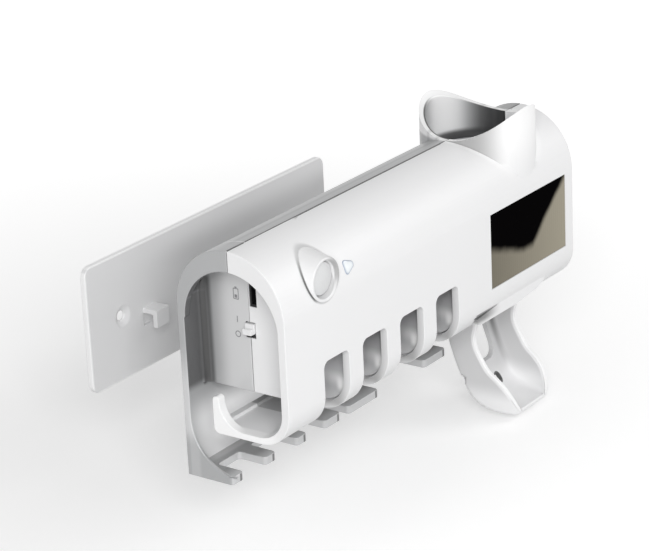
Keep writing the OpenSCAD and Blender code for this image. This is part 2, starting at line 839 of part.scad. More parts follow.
module charge_socket() {
    mid_y = (port_y0 + port_y1) / 2;
    mid_z = (port_z0 + port_z1) / 2;
    color([0.06, 0.06, 0.07]) at_body() {
        difference() {
            union() {
                block([panel_in + fit, port_y0 - 1, port_z0 - 0.6], [panel_in + port_deep + 2, board_y, port_z1 + 0.6]);
                block([end_recess + 0.7, port_y0 + fit, port_z0 + fit],
                    [panel_in + 1, port_y1 - fit, port_z1 - fit]);
            }
            block([end_recess, port_y0 + fit + 0.5, port_z0 + fit + 0.7],
                [panel_in + port_deep, port_y1 - fit - 0.5, port_z1 - fit - 0.7]);
        }
        block([panel_in, mid_y - 0.4, mid_z - 3.2], [panel_in + port_deep + eps, mid_y + 0.4, mid_z + 3.2]);
    }
}

module switch_body() {
    color([0.75, 0.76, 0.78]) at_body() difference() {
        block([panel_in + fit, knob_y - 3, knob_z - 3.6], [panel_in + 4.6, board_y, knob_z + 6]);
        block([panel_in, knob_y - 1.2, knob_z - 1.2], [panel_in + 2.6, knob_y + 1.2, knob_z + 4]);
    }
}

module switch_slider() {
    color(shell_white) at_body() {
        block([end_recess - knob_base, knob_y - knob_w / 2, knob_z],
            [panel_in - 0.1, knob_y + knob_w / 2, knob_z + knob_h]);
        block([end_recess - knob_out, knob_y - knob_w / 2, knob_z],
            [end_recess - knob_base + eps, knob_y + knob_w / 2, knob_z + knob_ridge]);
        block([panel_in - 0.2, knob_y - 0.8, knob_z + 1.3], [panel_in + 2.2, knob_y + 0.8, knob_z + 3.3]);
    }
}

module pir_lens() {
    color([0.93, 0.93, 0.94]) at_body() at_sensor(0, 0) intersection() {
        translate([0, 0, eye_front - lens_seat]) cylinder(h = lens_seat, r = lens_r);
        translate([0, 0, eye_front - lens_sink - lens_round]) sphere(r = lens_round, $fn = 96);
    }
}

module pir_sensor() {
    color(steel) at_body() at_sensor(0, 0) translate([0, 0, eye_board_z + board_t])
        cylinder(h = 4.2, r = 4.6);
}

module sensor_board() {
    color(board_green) at_body() at_sensor(0, 0)
        block([-11, -eye_board_h, eye_board_z], [light_dx + 4, eye_board_h, eye_board_z + board_t]);
}

module status_led() {
    led_z = arch_z + pipe_back * sin(light_tilt) - sensor_z;
    led_front = out_r + pipe_back * cos(light_tilt) - led_gap;
    color([0.8, 0.95, 1]) at_body() at_sensor(light_dx, led_z) translate([0, 0, eye_board_z + board_t])
        cylinder(h = led_front - eye_board_z - board_t, r = 1.5);
}

module light_pipe() {
    color([0.85, 0.97, 1, 0.7]) at_body() on_skin(sensor_x + light_dx, light_tilt)
        translate([0, 0, pipe_back]) linear_extrude(pipe_len) light_shape(0);
}

module solar_panel() {
    color([0.07, 0.07, 0.09]) at_body()
        block([disp_x - solar_len / 2 - 1.5, front_y + 0.1, solar_z],
            [disp_x + solar_len / 2 - 1.5, front_y + 0.1 + solar_t, solar_z + solar_h]);
}

// A wire through a list of points, as one tube of eight sides
function unit(v) = v / norm(v);
function heading(p, i) = i == 0 ? unit(p[1] - p[0])
    : i == len(p) - 1 ? unit(p[i] - p[i - 1])
    : unit(unit(p[i + 1] - p[i]) + unit(p[i] - p[i - 1]));
module tube_along(p, r, sides, up) {
    rings = [for (i = [0:len(p) - 1]) let (h = heading(p, i), a = unit(cross(h, up)), b = cross(h, a))
        [for (k = [0:sides - 1]) p[i] + r * (cos(360 * k / sides) * a + sin(360 * k / sides) * b)]];
    points = [for (ring = rings) each ring];
    walls = [for (i = [0:len(p) - 2], k = [0:sides - 1]) let (a = i * sides + k,
        b = i * sides + (k + 1) % sides) each [[a, b, b + sides], [a, b + sides, a + sides]]];
    last = (len(p) - 1) * sides;
    polyhedron(points, concat(walls, [[for (k = [sides - 1:-1:0]) k]], [[for (k = [0:sides - 1]) last + k]]));
}

wire_r = 0.65;
wire_gap = 0.4;
cell_end = cell_x + cell_len + 1.2;

// Last stretch of a wire into a plug
function into_plug(x, z) = [[x, plug_y - 4, z + 0.2], [x, plug_y - wire_gap, z]];

module battery_leads() {
    color([0.75, 0.1, 0.1]) at_body() {
        tube_along(concat([[cell_x - wire_gap, cell_y, cell_z - 3], [cell_x - 2, cell_y - 0.6, cell_z - 3.6],
            [cell_x - 5, cell_y - 8, cell_z - 12]], into_plug(plug_x + 1.6, board_z0 + 12)),
            wire_r, 8, [0.2, 0.1, 1]);
        tube_along(concat([[cell_end + wire_gap, cell_y, cell_z], [cell_end + 1.6, cell_y - 0.8, cell_z],
            [cell_end + 1.6, cell_y - 8, cell_z], [cell_end - 3, cell_y - 11, cell_z - 1],
            [cell_x + 40, cell_y - 11.5, cell_z - 2], [cell_x + 6, cell_y - 12, cell_z - 6],
            [cell_x - 4, cell_y - 13, cell_z - 13], [plug_x + 1, plug_y - 6.5, board_z0 + 10]],
            into_plug(plug_x - 1.6, board_z0 + 10)),
            wire_r, 8, [0.2, 0.1, 1]);
    }
}

module panel_leads() {
    back = front_y + 0.1 + solar_t + wire_gap;
    color([0.15, 0.15, 0.16]) at_body()
        tube_along(concat([[wire_x, back, wire_z], [wire_x, run_y - 2, wire_z], [wire_x - 2, run_y - 0.3, wire_z],
            [split_x + split_t, run_y, run_z], [board_x1 + 6, run_y, run_z],
            [board_x1 + 1, run_y + 3, run_z + 1.5]], into_plug(plug_x, board_z0 + 8)),
            wire_r, 8, [0.1, 0.2, 1]);
}

module lamp_leads() {
    lamp_top = tray_top + 0.2 + board_t + wire_gap;
    eye_rear = -eye_board_z + wire_gap;
    eye_x = sensor_x + light_dx + 1.4;
    low_x = chip_x + 4;
    high_x = chip_x + 6.4;
    color([0.9, 0.9, 0.9]) at_body() {
        tube_along([[low_x, lamp_y + 3, lamp_top], [low_x, lamp_y + 3, lamp_top + 1.2],
            [low_x, lamp_y + 3.6, lamp_top + 3], [low_x, plug_y - 2.4, board_z0 + 4.6],
            [low_x, plug_y - wire_gap, board_z0 + 4.6]], wire_r, 8, [1, 0, 0]);
        tube_along([[eye_x, eye_rear, sensor_z - 5.8], [eye_x, eye_rear + 1.3, sensor_z - 6.1],
            [eye_x + 1, eye_rear + 3.1, sensor_z - 10.3], [high_x - 2.4, plug_y - 5.4, chip_z - 2.5],
            [high_x - 0.4, plug_y - 4.4, chip_z - 6], [high_x, plug_y - 2.4, board_z0 + 6],
            [high_x, plug_y - wire_gap, board_z0 + 6]], wire_r, 8, [1, 0, 0]);
    }
}

// Funnel that the neck of the toothpaste tube stands in
module tube_socket() {
    r0 = collar_bore_r - 0.6;
    z0 = socket_z + shelf_t + fit;
    z1 = cup_z + fit;
    color([0.9, 0.9, 0.92]) at_body() translate([disp_x, seam_y, 0]) rotate_extrude()
        polygon([[cup_r - fit, z1], [cup_r - fit, cup_z + cup_h + 0.6], [r0 - 2.8, z0 - shelf_t - fit],
            [r0 - 2.8, z0], [r0, z0], [r0, z0 + 2], [r0 - 4.6, z0 + 2], [r0 - 4.8, z0 - shelf_t],
            [cup_r - 2.3, cup_z + cup_h + 1.2], [cup_r - 2.3, z1]]);
}

module tube_seal() {
    color([0.85, 0.4, 0.35]) at_body() translate([disp_x, seam_y, cup_z + 1]) difference() {
        cylinder(h = 6, r = cup_r - 2.4);
        translate([0, 0, -1]) cylinder(h = 8, r = cup_r - 3.9);
    }
}

// Cross pump: the tube feeds it from above, the nozzle hangs below its front end
module pump_body() {
    color([0.88, 0.9, 0.93]) at_body() difference() {
        union() {
            translate([disp_x, barrel_front, pump_z]) rotate([-90, 0, 0])
                cylinder(h = barrel_rear - barrel_front, r = barrel_r);
            translate([disp_x, inlet_y, pump_z]) cylinder(h = cup_z - pump_z, r = inlet_boss_r);
            translate([disp_x, seam_y, cup_low_z]) cylinder(h = cup_z + cup_h - cup_low_z, r = cup_r + cup_wall);
            translate([disp_x, seam_y, shelf_low_z + shelf_t + fit]) cylinder(h = 2, r = cup_r + cup_wall + 3);
            translate([disp_x, outlet_y, outlet_z]) cylinder(h = pump_z - outlet_z, r = outlet_r);
        }
        translate([disp_x, barrel_front + 2, pump_z]) rotate([-90, 0, 0])
            cylinder(h = barrel_rear - barrel_front, r = pump_bore_r);
        translate([disp_x, seam_y, cup_z]) cylinder(h = cup_h + 1, r = cup_r);
        translate([disp_x, inlet_y, pump_z]) cylinder(h = cup_z - pump_z + 1, r = inlet_r);
        translate([disp_x, outlet_y, outlet_z - 1]) cylinder(h = pump_z - outlet_z, r = nozzle_r);
        translate([disp_x, outlet_y, outlet_z - 1]) cylinder(h = valve_t + 1, r = valve_r + 0.1);
    }
}

module pump_cap() {
    color([0.8, 0.82, 0.85]) at_body() translate([disp_x, barrel_rear, pump_z]) rotate([-90, 0, 0])
        difference() {
            union() {
                cylinder(h = cap_t, r = barrel_r);
                translate([0, 0, -1.5]) cylinder(h = 2, r = pump_bore_r - 0.05);
            }
            translate([0, 0, -3]) cylinder(h = cap_t + 6, r = rod_r + 0.4);
        }
}

module pump_piston() {
    color([0.95, 0.95, 0.97]) at_body() translate([disp_x, piston_y, pump_z]) rotate([-90, 0, 0])
        difference() {
            union() {
                cylinder(h = piston_t, r = pump_bore_r - fit);
                cylinder(h = rod_end - piston_y, r = rod_r);
                translate([0, 0, rod_end - piston_y - pad_t]) cylinder(h = pad_t, r = pad_r);
            }
            translate([0, 0, 1.6]) difference() {
                cylinder(h = 1.8, r = pump_bore_r + 1);
                translate([0, 0, -1]) cylinder(h = 4, r = pump_bore_r - 1.4);
            }
        }
}

module piston_seal() {
    color([0.1, 0.1, 0.1]) at_body() translate([disp_x, piston_y + 1.65, pump_z]) rotate([-90, 0, 0])
        difference() {
            cylinder(h = 1.7, r = pump_bore_r - 0.06);
            translate([0, 0, -1]) cylinder(h = 4, r = pump_bore_r - 1.35);
        }
}

// Coil spring in the pump's chamber, wound as one wire
spring_turns = 5;
spring_steps = 12;
module return_spring() {
    y0 = barrel_front + 2 + 0.7;
    y1 = piston_y - 0.7;
    r = pump_bore_r - 1.6;
    steps = spring_turns * spring_steps;
    color(steel) at_body() tube_along([for (k = [0:steps]) [disp_x + r * cos(360 * k / spring_steps),
        y0 + (y1 - y0) * k / steps, pump_z + r * sin(360 * k / spring_steps)]], 0.5, 6, [0, 1, 0]);
}

module outlet_valve() {
    color([0.9, 0.5, 0.4]) at_body() translate([disp_x, outlet_y, outlet_z]) difference() {
        cylinder(h = valve_t - 0.1, r = valve_r);
        translate([0, 0, -1]) cylinder(h = valve_t + 2, r = 1);
    }
}

module nozzle() {
    color([0.93, 0.93, 0.95]) at_body() translate([disp_x, outlet_y, 0]) difference() {
        union() {
            translate([0, 0, outlet_z - 2.2]) cylinder(h = 6.2, r = outlet_r + 1.6);
            translate([0, 0, nozzle_z]) cylinder(h = outlet_z - 2 - nozzle_z, r1 = nozzle_r + 1.4, r2 = outlet_r);
        }
        translate([0, 0, outlet_z - 0.2]) cylinder(h = 6, r = outlet_r + 0.1);
        translate([0, 0, nozzle_z - 1]) cylinder(h = outlet_z - nozzle_z + 2, r = nozzle_r);
    }
}

// Points of one level of the lever's scoop: a squared half ring, open towards its front rim
function bend(v, square) = sign(v) * pow(abs(v), 2 / square);
function scoop_row(row, inset, square) = let (w = lever_w * row[4] - inset, f = [row[0], row[1]], b = [row[2], row[3]],
    deep = norm(b - f), dir = (b - f) / deep)
    [for (k = [0:lever_sides]) let (a = -90 + 180 * k / lever_sides, q = (deep - inset) * bend(cos(a), square),
        p = f + dir * q) [w * bend(sin(a), square), p[0], p[1]]];

// Scoop that a brush pushes back: outer and inner skins joined along the rim
module scoop() {
    n = lever_sides + 1;
    inset = [for (row = lever_rows) min(lever_t, 0.6 * norm([row[0] - row[2], row[1] - row[3]]))];
    inner = [for (i = [0:len(lever_rows) - 1]) scoop_row(lever_rows[i], inset[i], lever_inner_square)];
    rows = [for (i = [0:len(lever_rows) - 1]) concat(scoop_row(lever_rows[i], 0, lever_square),
        [for (k = [lever_sides:-1:0]) inner[i][k]])];
    m = 2 * n;
    points = [for (row = rows) each row];
    last = (len(rows) - 1) * m;
    walls = [for (i = [0:len(rows) - 2], k = [0:m - 1]) let (a = i * m + k, b = i * m + (k + 1) % m)
        each [[a, a + m, b + m], [a, b + m, b]]];
    ends = [for (k = [0:n - 2]) each [[k, k + 1, m - 2 - k], [k, m - 2 - k, m - 1 - k]]];
    toe = [for (k = [0:n - 2]) each [[last + k, last + m - 2 - k, last + k + 1],
        [last + k, last + m - 1 - k, last + m - 2 - k]]];
    translate([disp_x, 0, 0]) polyhedron(points, concat(walls, ends, toe));
}

module push_lever() {
    color(shell_white) at_body() difference() {
        union() {
            scoop();
            for (x = [disp_x - lever_w, disp_x + lever_w - lever_t]) along_x(x, lever_t) {
                polygon([[-36, 24.5], [-21.5, 24.5], [pin_y + 4.4, pin_z - 1], [bar_y + bar_r, bar_z],
                    [bar_y - bar_r, bar_z], [pin_y - 5, pin_z + 3], [-36, 27]]);
                translate([pin_y, pin_z]) circle(4.5);
            }
            translate([disp_x - lever_w, bar_y, bar_z]) rotate([0, 90, 0]) cylinder(h = 2 * lever_w, r = bar_r);
        }
        translate([disp_x - lever_w - 1, pin_y, pin_z]) rotate([0, 90, 0])
            cylinder(h = 2 * lever_w + 2, r = pin_r + 0.08);
        to_front(scoop_back + 6, 14) soft_rect(disp_x - scoop_win_w / 2, scoop_win_z0,
            disp_x + scoop_win_w / 2, scoop_win_z1, scoop_win_r);
        translate([disp_x + drain_dx, -25, -25]) rotate([70, 0, 0]) cylinder(h = 18, r = drain_r);
        block([disp_x - lever_w - 1, notch_y, notch_z0], [disp_x - lever_w + notch_w, notch_y + 8, notch_z1]);
    }
}

module lever_pin() {
    len = 2 * (lever_w + bracket_gap + bracket_t) + 0.8;
    color(steel) at_body() translate([disp_x - len / 2, pin_y, pin_z]) rotate([0, 90, 0]) cylinder(h = len, r = pin_r);
}

// Plate that stays on the wall, with two dished screw holes and two hooks
module wall_plate() {
    w = plate_len / 2;
    h = plate_h / 2;
    color(plate_grey) difference() {
        union() {
            to_front(0, plate_t) soft_rect(-w, -h, w, h, plate_r);
            for (x = hook_x) translate([x - body_len / 2 - hook_w / 2, 0, hook_z - plate_z])
                along_x(0, hook_w) {
                    translate([-plate_t - hook_reach, hook_h - hook_arm]) square([hook_reach + eps, hook_arm]);
                    translate([-plate_t - hook_reach, 0]) square([hook_arm, hook_h]);
                }
        }
        for (s = [-1, 1]) translate([s * screw_pitch / 2, 0, 0]) rotate([90, 0, 0]) {
            translate([0, 0, -1]) cylinder(h = plate_t + 2, r = screw_hole_r);
            translate([0, 0, plate_t - dish_t]) cylinder(h = dish_t + eps, r1 = screw_hole_r, r2 = dish_r);
        }
        for (x = hook_x) translate([x - body_len / 2, 0, hook_z - plate_z])
            block([-hook_w / 2, -plate_t - 1, 0], [hook_w / 2, -1.2, hook_h - hook_arm]);
    }
}

wall_plate();
rear_housing();
front_cover();
housing_screws();
chamber_liner();
uv_board();
uv_lamps();
uv_windows();
main_board();
board_parts();
battery_cell();
battery_cradle();
charge_socket();
switch_body();
switch_slider();
pir_lens();
pir_sensor();
sensor_board();
light_pipe();
status_led();
solar_panel();
battery_leads();
panel_leads();
lamp_leads();
tube_socket();
tube_seal();
pump_body();
pump_cap();
pump_piston();
piston_seal();
return_spring();
outlet_valve();
nozzle();
push_lever();
lever_pin();
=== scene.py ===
"""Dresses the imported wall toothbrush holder: finishes, small pieces, light and camera.

X runs along the holder, Y runs into the wall and Z points up, in metres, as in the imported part.
The sizes of the classes are in millimetres and are counted from the holder's own corner.
"""

import logging
import math
from dataclasses import dataclass, replace
from enum import Enum

import bmesh
import bpy
import numpy as np
from mathutils import Matrix, Vector


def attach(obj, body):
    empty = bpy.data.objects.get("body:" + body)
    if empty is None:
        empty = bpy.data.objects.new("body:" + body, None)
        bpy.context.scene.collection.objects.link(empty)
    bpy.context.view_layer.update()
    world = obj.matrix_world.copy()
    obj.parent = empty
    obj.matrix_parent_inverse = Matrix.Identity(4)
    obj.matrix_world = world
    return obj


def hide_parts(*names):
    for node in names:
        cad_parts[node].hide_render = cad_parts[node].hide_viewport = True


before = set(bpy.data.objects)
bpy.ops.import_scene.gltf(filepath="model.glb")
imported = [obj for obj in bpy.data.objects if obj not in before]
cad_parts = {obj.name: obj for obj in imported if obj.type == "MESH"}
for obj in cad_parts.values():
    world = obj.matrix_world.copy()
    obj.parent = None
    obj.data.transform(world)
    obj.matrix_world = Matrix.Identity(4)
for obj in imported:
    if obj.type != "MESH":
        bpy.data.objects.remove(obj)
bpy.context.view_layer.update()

log = logging.getLogger("holder")
Colour = tuple[float, float, float]
Point = tuple[float, float, float]
Box = tuple[float, float, float, float, float, float]
Tree = bpy.types.NodeTree
Node = bpy.types.Node
Socket = bpy.types.NodeSocket
Feed = Socket | float | Colour

MM = 0.001
# The holder's own corner (left end, back, underside of the rack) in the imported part's frame
CORNER = np.array([-120.0, -78.0, -44.0])
SEAM_Y = -29.0
ARCH_Z = 82.0
# Places of the upright axis of the collar (x, y), the axis of the arch along X (y, z)
# and the axis of the sensor along Y (x, z)
COLLAR_AXIS = (200.0, SEAM_Y)
ARCH_AXIS = (SEAM_Y, ARCH_Z)
EYE_AXIS = (30.8, 93.3)
# Middle of each brush window along the holder
WINDOW_MIDDLES = (36.8, 66.45, 96.1, 125.75)
# Right end of each prong of the rack
PRONG_ENDS = (8.4, 32.5, 56.4, 83.0, 114.2, 172.45)
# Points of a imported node, and of a piece made here, that lie closer than this are one, in metres
NODE_WELD = 3e-6
PIECE_WELD = 2e-6
# Points closer than this to a cutting plane count as on it, in metres
PLANE_REACH = 1e-6
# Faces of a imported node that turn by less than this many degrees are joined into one
FLAT_ANGLE = 0.6


class Body(Enum):
    """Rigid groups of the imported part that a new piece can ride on."""

    WALL = "wall_side"
    HOLDER = "holder"
    SWITCH = "switch_knob"
    LEVER = "lever"


# Shader nodes


def grey(level: float, blue: float = 0.0) -> Colour:
    """Gives a linear grey, with a little more blue where that is wanted."""
    return (level, level, level + blue)


def feed(tree: Tree, socket: Socket, value: Feed) -> None:
    """Links an input to another socket, or sets its number or colour.

    Args:
        tree: the tree that holds the input.
        socket: the input.
        value: a socket, a number or a colour.
    """
    if isinstance(value, Socket):
        tree.links.new(value, socket)
    elif isinstance(value, tuple):
        socket.default_value = (*value, 1.0)
    else:
        socket.default_value = value


def math_node(tree: Tree, kind: str, *values: Feed) -> Socket:
    """Adds one math node.

    Args:
        tree: the tree that gets it.
        kind: its operation.
        values: what feeds its inputs, in order.

    Returns:
        Its output.
    """
    node = tree.nodes.new("ShaderNodeMath")
    node.operation = kind
    for socket, value in zip(node.inputs, values):
        feed(tree, socket, value)
    return node.outputs[0]


def mix_node(tree: Tree, base: Feed, other: Feed, share: Feed, kind: str = "MIX") -> Socket:
    """Adds one mix of two colours.

    Args:
        tree: the tree that gets it.
        base: the first colour.
        other: the colour laid over it.
        share: how much of the other shows, 0 to 1.
        kind: how the two are blended.

    Returns:
        The mixed colour.
    """
    node = tree.nodes.new("ShaderNodeMix")
    node.data_type = "RGBA"
    node.blend_type = kind
    feed(tree, node.inputs["Factor"], share)
    feed(tree, node.inputs[6], base)
    feed(tree, node.inputs[7], other)
    return node.outputs[2]


def range_node(
    tree: Tree, value: Socket, start: float, end: float, to: tuple[float, float] = (0.0, 1.0), smooth: bool = False
) -> Socket:
    """Adds a node that carries a value from one range to another and stops at its ends.

    Args:
        tree: the tree that gets it.
        value: the value.
        start: where the first range starts.
        end: where it ends, which may lie before its start.
        to: start and end of the second range.
        smooth: whether the way between the ends is an S curve, not a straight line.

    Returns:
        The new value.
    """
    node = tree.nodes.new("ShaderNodeMapRange")
    node.interpolation_type = "SMOOTHSTEP" if smooth else "LINEAR"
    for label, number in zip(("From Min", "From Max", "To Min", "To Max"), (start, end, *to)):
        node.inputs[label].default_value = number
    tree.links.new(value, node.inputs["Value"])
    return node.outputs["Result"]


def noise_node(tree: Tree, place: Socket, scale: Feed, detail: float = 2.0) -> Socket:
    """Adds a noise texture.

    Args:
        tree: the tree that gets it.
        place: the coordinates that it follows.
        scale: its scale, larger is finer.
        detail: its number of finer layers.

    Returns:
        Its share, 0 to 1.
    """
    node = tree.nodes.new("ShaderNodeTexNoise")
    feed(tree, node.inputs["Scale"], scale)
    node.inputs["Detail"].default_value = detail
    tree.links.new(place, node.inputs["Vector"])
    return node.outputs["Fac"]


def place_nodes(tree: Tree) -> tuple[Socket, Node]:
    """Adds Object coordinates.

    Args:
        tree: the tree that gets them.

    Returns:
        The coordinates as one socket, and a node whose X, Y and Z outputs are the three axes.
    """
    place, split = tree.nodes.new("ShaderNodeTexCoord"), tree.nodes.new("ShaderNodeSeparateXYZ")
    tree.links.new(place.outputs["Object"], split.inputs[0])
    return place.outputs["Object"], split


def attribute_node(tree: Tree, name: str) -> Socket:
    """Adds a node that reads a piece's own attribute.

    Args:
        tree: the tree that gets it.
        name: the attribute's name.

    Returns:
        The attribute's value.
    """
    node = tree.nodes.new("ShaderNodeAttribute")
    node.attribute_name = name
    return node.outputs["Fac"]


def group_node(tree: Tree, group: Tree, values: dict[str, Feed]) -> Node:
    """Adds a node group to a material.

    Args:
        tree: the material's tree.
        group: the group.
        values: what feeds its inputs, by name. The others keep the group's own values.

    Returns:
        The node that stands for the group.
    """
    node = tree.nodes.new("ShaderNodeGroup")
    node.node_tree = group
    for label, value in values.items():
        feed(tree, node.inputs[label], value)
    return node


def raise_skin(tree: Tree, shader: Node, height: Socket, full_mm: float) -> None:
    """Gives a shader a fine relief.

    Args:
        tree: the material's tree.
        shader: its shader.
        height: the relief, 0 to 1.
        full_mm: how high 1 stands, in millimetres.
    """
    bump = tree.nodes.new("ShaderNodeBump")
    bump.inputs["Strength"].default_value = 1.0
    bump.inputs["Distance"].default_value = full_mm * MM
    tree.links.new(height, bump.inputs["Height"])
    tree.links.new(bump.outputs["Normal"], shader.inputs["Normal"])


def new_material(name: str) -> tuple[bpy.types.Material, Tree, Node]:
    """Starts a material.

    Args:
        name: its name.

    Returns:
        The material, its tree and its Principled shader.
    """
    material = bpy.data.materials.new(name)
    material.use_nodes = True
    return material, material.node_tree, material.node_tree.nodes["Principled BSDF"]


def fill(tree: Tree, node: Node, values: dict[str, Feed]) -> None:
    """Feeds several inputs of a node, by name."""
    for label, value in values.items():
        feed(tree, node.inputs[label], value)


# Node groups shared by the finishes


def new_group(name: str, inputs: dict[str, float | tuple[float, ...]]) -> Tree:
    """Starts a shader node group with Color, Roughness and Height outputs.

    Args:
        name: the group's name.
        inputs: name and own value of each input, four numbers for a colour.

    Returns:
        The group, with its two end nodes named In and Out.
    """
    tree = bpy.data.node_groups.new(name, "ShaderNodeTree")
    for label, value in inputs.items():
        kind = "NodeSocketColor" if isinstance(value, tuple) else "NodeSocketFloat"
        tree.interface.new_socket(label, in_out="INPUT", socket_type=kind).default_value = value
    for label, kind in (("Color", "NodeSocketColor"), ("Roughness", "NodeSocketFloat"), ("Height", "NodeSocketFloat")):
        tree.interface.new_socket(label, in_out="OUTPUT", socket_type=kind)
    tree.nodes.new("NodeGroupInput").name = "In"
    tree.nodes.new("NodeGroupOutput").name = "Out"
    return tree


def moulded_group() -> Tree:
    """Builds the look of moulded plastic: slight mottling, flow marks, gloss change and orange peel.

    The colour is the base times 1 plus the mottle times (noise - 0.5). The roughness wanders in the same
    way by its own noise, and the height is a fine noise times the peel.

    Returns:
        A group whose outputs all follow Object coordinates.
    """
    inputs = {
        "Base": (0.8, 0.8, 0.8, 1.0), "Mottle": 0.03, "Roughness": 0.3, "Gloss change": 0.06, "Peel scale": 900.0,
        "Peel": 0.3,
    }
    tree = new_group("MouldedSkin", inputs)
    start, end = tree.nodes["In"].outputs, tree.nodes["Out"]
    place, _ = place_nodes(tree)
    flow = math_node(tree, "SUBTRACT", noise_node(tree, place, scale=22.0, detail=3.0), 0.5)
    shade = math_node(tree, "ADD", math_node(tree, "MULTIPLY", flow, start["Mottle"]), 1.0)
    dull = math_node(tree, "SUBTRACT", noise_node(tree, place, scale=60.0, detail=4.0), 0.5)
    change = math_node(tree, "MULTIPLY", dull, start["Gloss change"])
    peel = noise_node(tree, place, start["Peel scale"])
    fill(tree, end, {
        "Color": mix_node(tree, start["Base"], shade, 1.0, "MULTIPLY"),
        "Roughness": math_node(tree, "ADD", change, start["Roughness"]),
        "Height": math_node(tree, "MULTIPLY", peel, start["Peel"]),
    })
    return tree


def brushed_group() -> Tree:
    """Builds fine drawn lines for metal pieces, as noise stretched along X.

    The noise gives the height. Carried to 0.82 to 1.1, it also scales the base colour and the roughness.

    Returns:
        A group whose outputs all follow Object coordinates.
    """
    tree = new_group("DrawnMetal", {"Base": (0.6, 0.6, 0.62, 1.0), "Roughness": 0.3})
    start, end = tree.nodes["In"].outputs, tree.nodes["Out"]
    place, _ = place_nodes(tree)
    stretch = tree.nodes.new("ShaderNodeMapping")
    stretch.inputs["Scale"].default_value = (60.0, 2400.0, 2400.0)
    tree.links.new(place, stretch.inputs["Vector"])
    lines = noise_node(tree, stretch.outputs["Vector"], scale=1.0, detail=3.0)
    tone = range_node(tree, lines, 0.0, 1.0, (0.82, 1.1))
    fill(tree, end, {
        "Color": mix_node(tree, start["Base"], tone, 1.0, "MULTIPLY"),
        "Roughness": math_node(tree, "MULTIPLY", start["Roughness"], tone),
        "Height": lines,
    })
    return tree


# Finishes


@dataclass(frozen=True)
class Gate:
    """Share that runs from 0 to 1 between two places along one axis of the holder.

    Attributes:
        axis: X, Y or Z, or two of them for the distance from a line that stands on their plane.
        start: place where the share is 0, in millimetres from the holder's corner.
        end: place where it reaches 1. It may lie before the start.
        middle: where this is given, start and end are distances from it.
        centre: where the line meets the plane, with two axes.
        slope: share of the third coordinate that is added to the distance, for a cone about the line.
    """

    axis: str
    start: float
    end: float
    middle: float | None = None
    centre: tuple[float, float] = (0.0, 0.0)
    slope: float = 0.0

    def read(self, tree: Tree, split: Node) -> tuple[Socket, float]:
        """Adds the nodes for what the gate reads: a coordinate, or a distance plus slope times the third one.

        Args:
            tree: the material's tree.
            split: node with the three coordinates.

        Returns:
            The value in metres, and what its count from the holder's corner lacks, in millimetres.
        """
        if len(self.axis) == 1:
            return split.outputs[self.axis], CORNER["XYZ".index(self.axis)]
        flat, away = tree.nodes.new("ShaderNodeCombineXYZ"), tree.nodes.new("ShaderNodeVectorMath")
        away.operation = "DISTANCE"
        for letter, place in zip(self.axis, self.centre):
            k = "XYZ".index(letter)
            away.inputs[1].default_value[k] = (place + CORNER[k]) * MM
            tree.links.new(split.outputs[letter], flat.inputs[letter])
        tree.links.new(flat.outputs[0], away.inputs[0])
        third = (set("XYZ") - set(self.axis)).pop()
        cone = math_node(tree, "MULTIPLY_ADD", split.outputs[third], self.slope, away.outputs["Value"])
        return cone, self.slope * CORNER["XYZ".index(third)]

    def add(self, tree: Tree, split: Node) -> Socket:
        """Adds the gate's nodes.

        Args:
            tree: the material's tree.
            split: node with the three coordinates.

        Returns:
            The gate's share.
        """
        value, shift = self.read(tree, split)
        if self.middle is not None:
            side = math_node(tree, "SUBTRACT", value, (self.middle + shift) * MM)
            value, shift = math_node(tree, "ABSOLUTE", side), 0.0
        return range_node(tree, value, (self.start + shift) * MM, (self.end + shift) * MM, smooth=True)


# Shades carry painted light and painted shade; only the joint lines are dark joints.
@dataclass(frozen=True)
class Shade:
    """Colour laid over a finish where all its gates are open.

    Attributes:
        colour: linear colour.
        strength: share of the colour where the gates are fully open.
        gates: where it lies.
    """

    colour: Colour
    strength: float
    gates: tuple[Gate, ...]

    def lay(self, tree: Tree, base: Socket) -> Socket:
        """Lays the shade over a colour. Its share is the strength times the shares of all gates.

        Args:
            tree: the material's tree.
            base: the colour so far.

        Returns:
            The colour with the shade.
        """
        _, split = place_nodes(tree)
        share = self.strength
        for gate in self.gates:
            share = math_node(tree, "MULTIPLY", gate.add(tree, split), share)
        return mix_node(tree, base, self.colour, share)


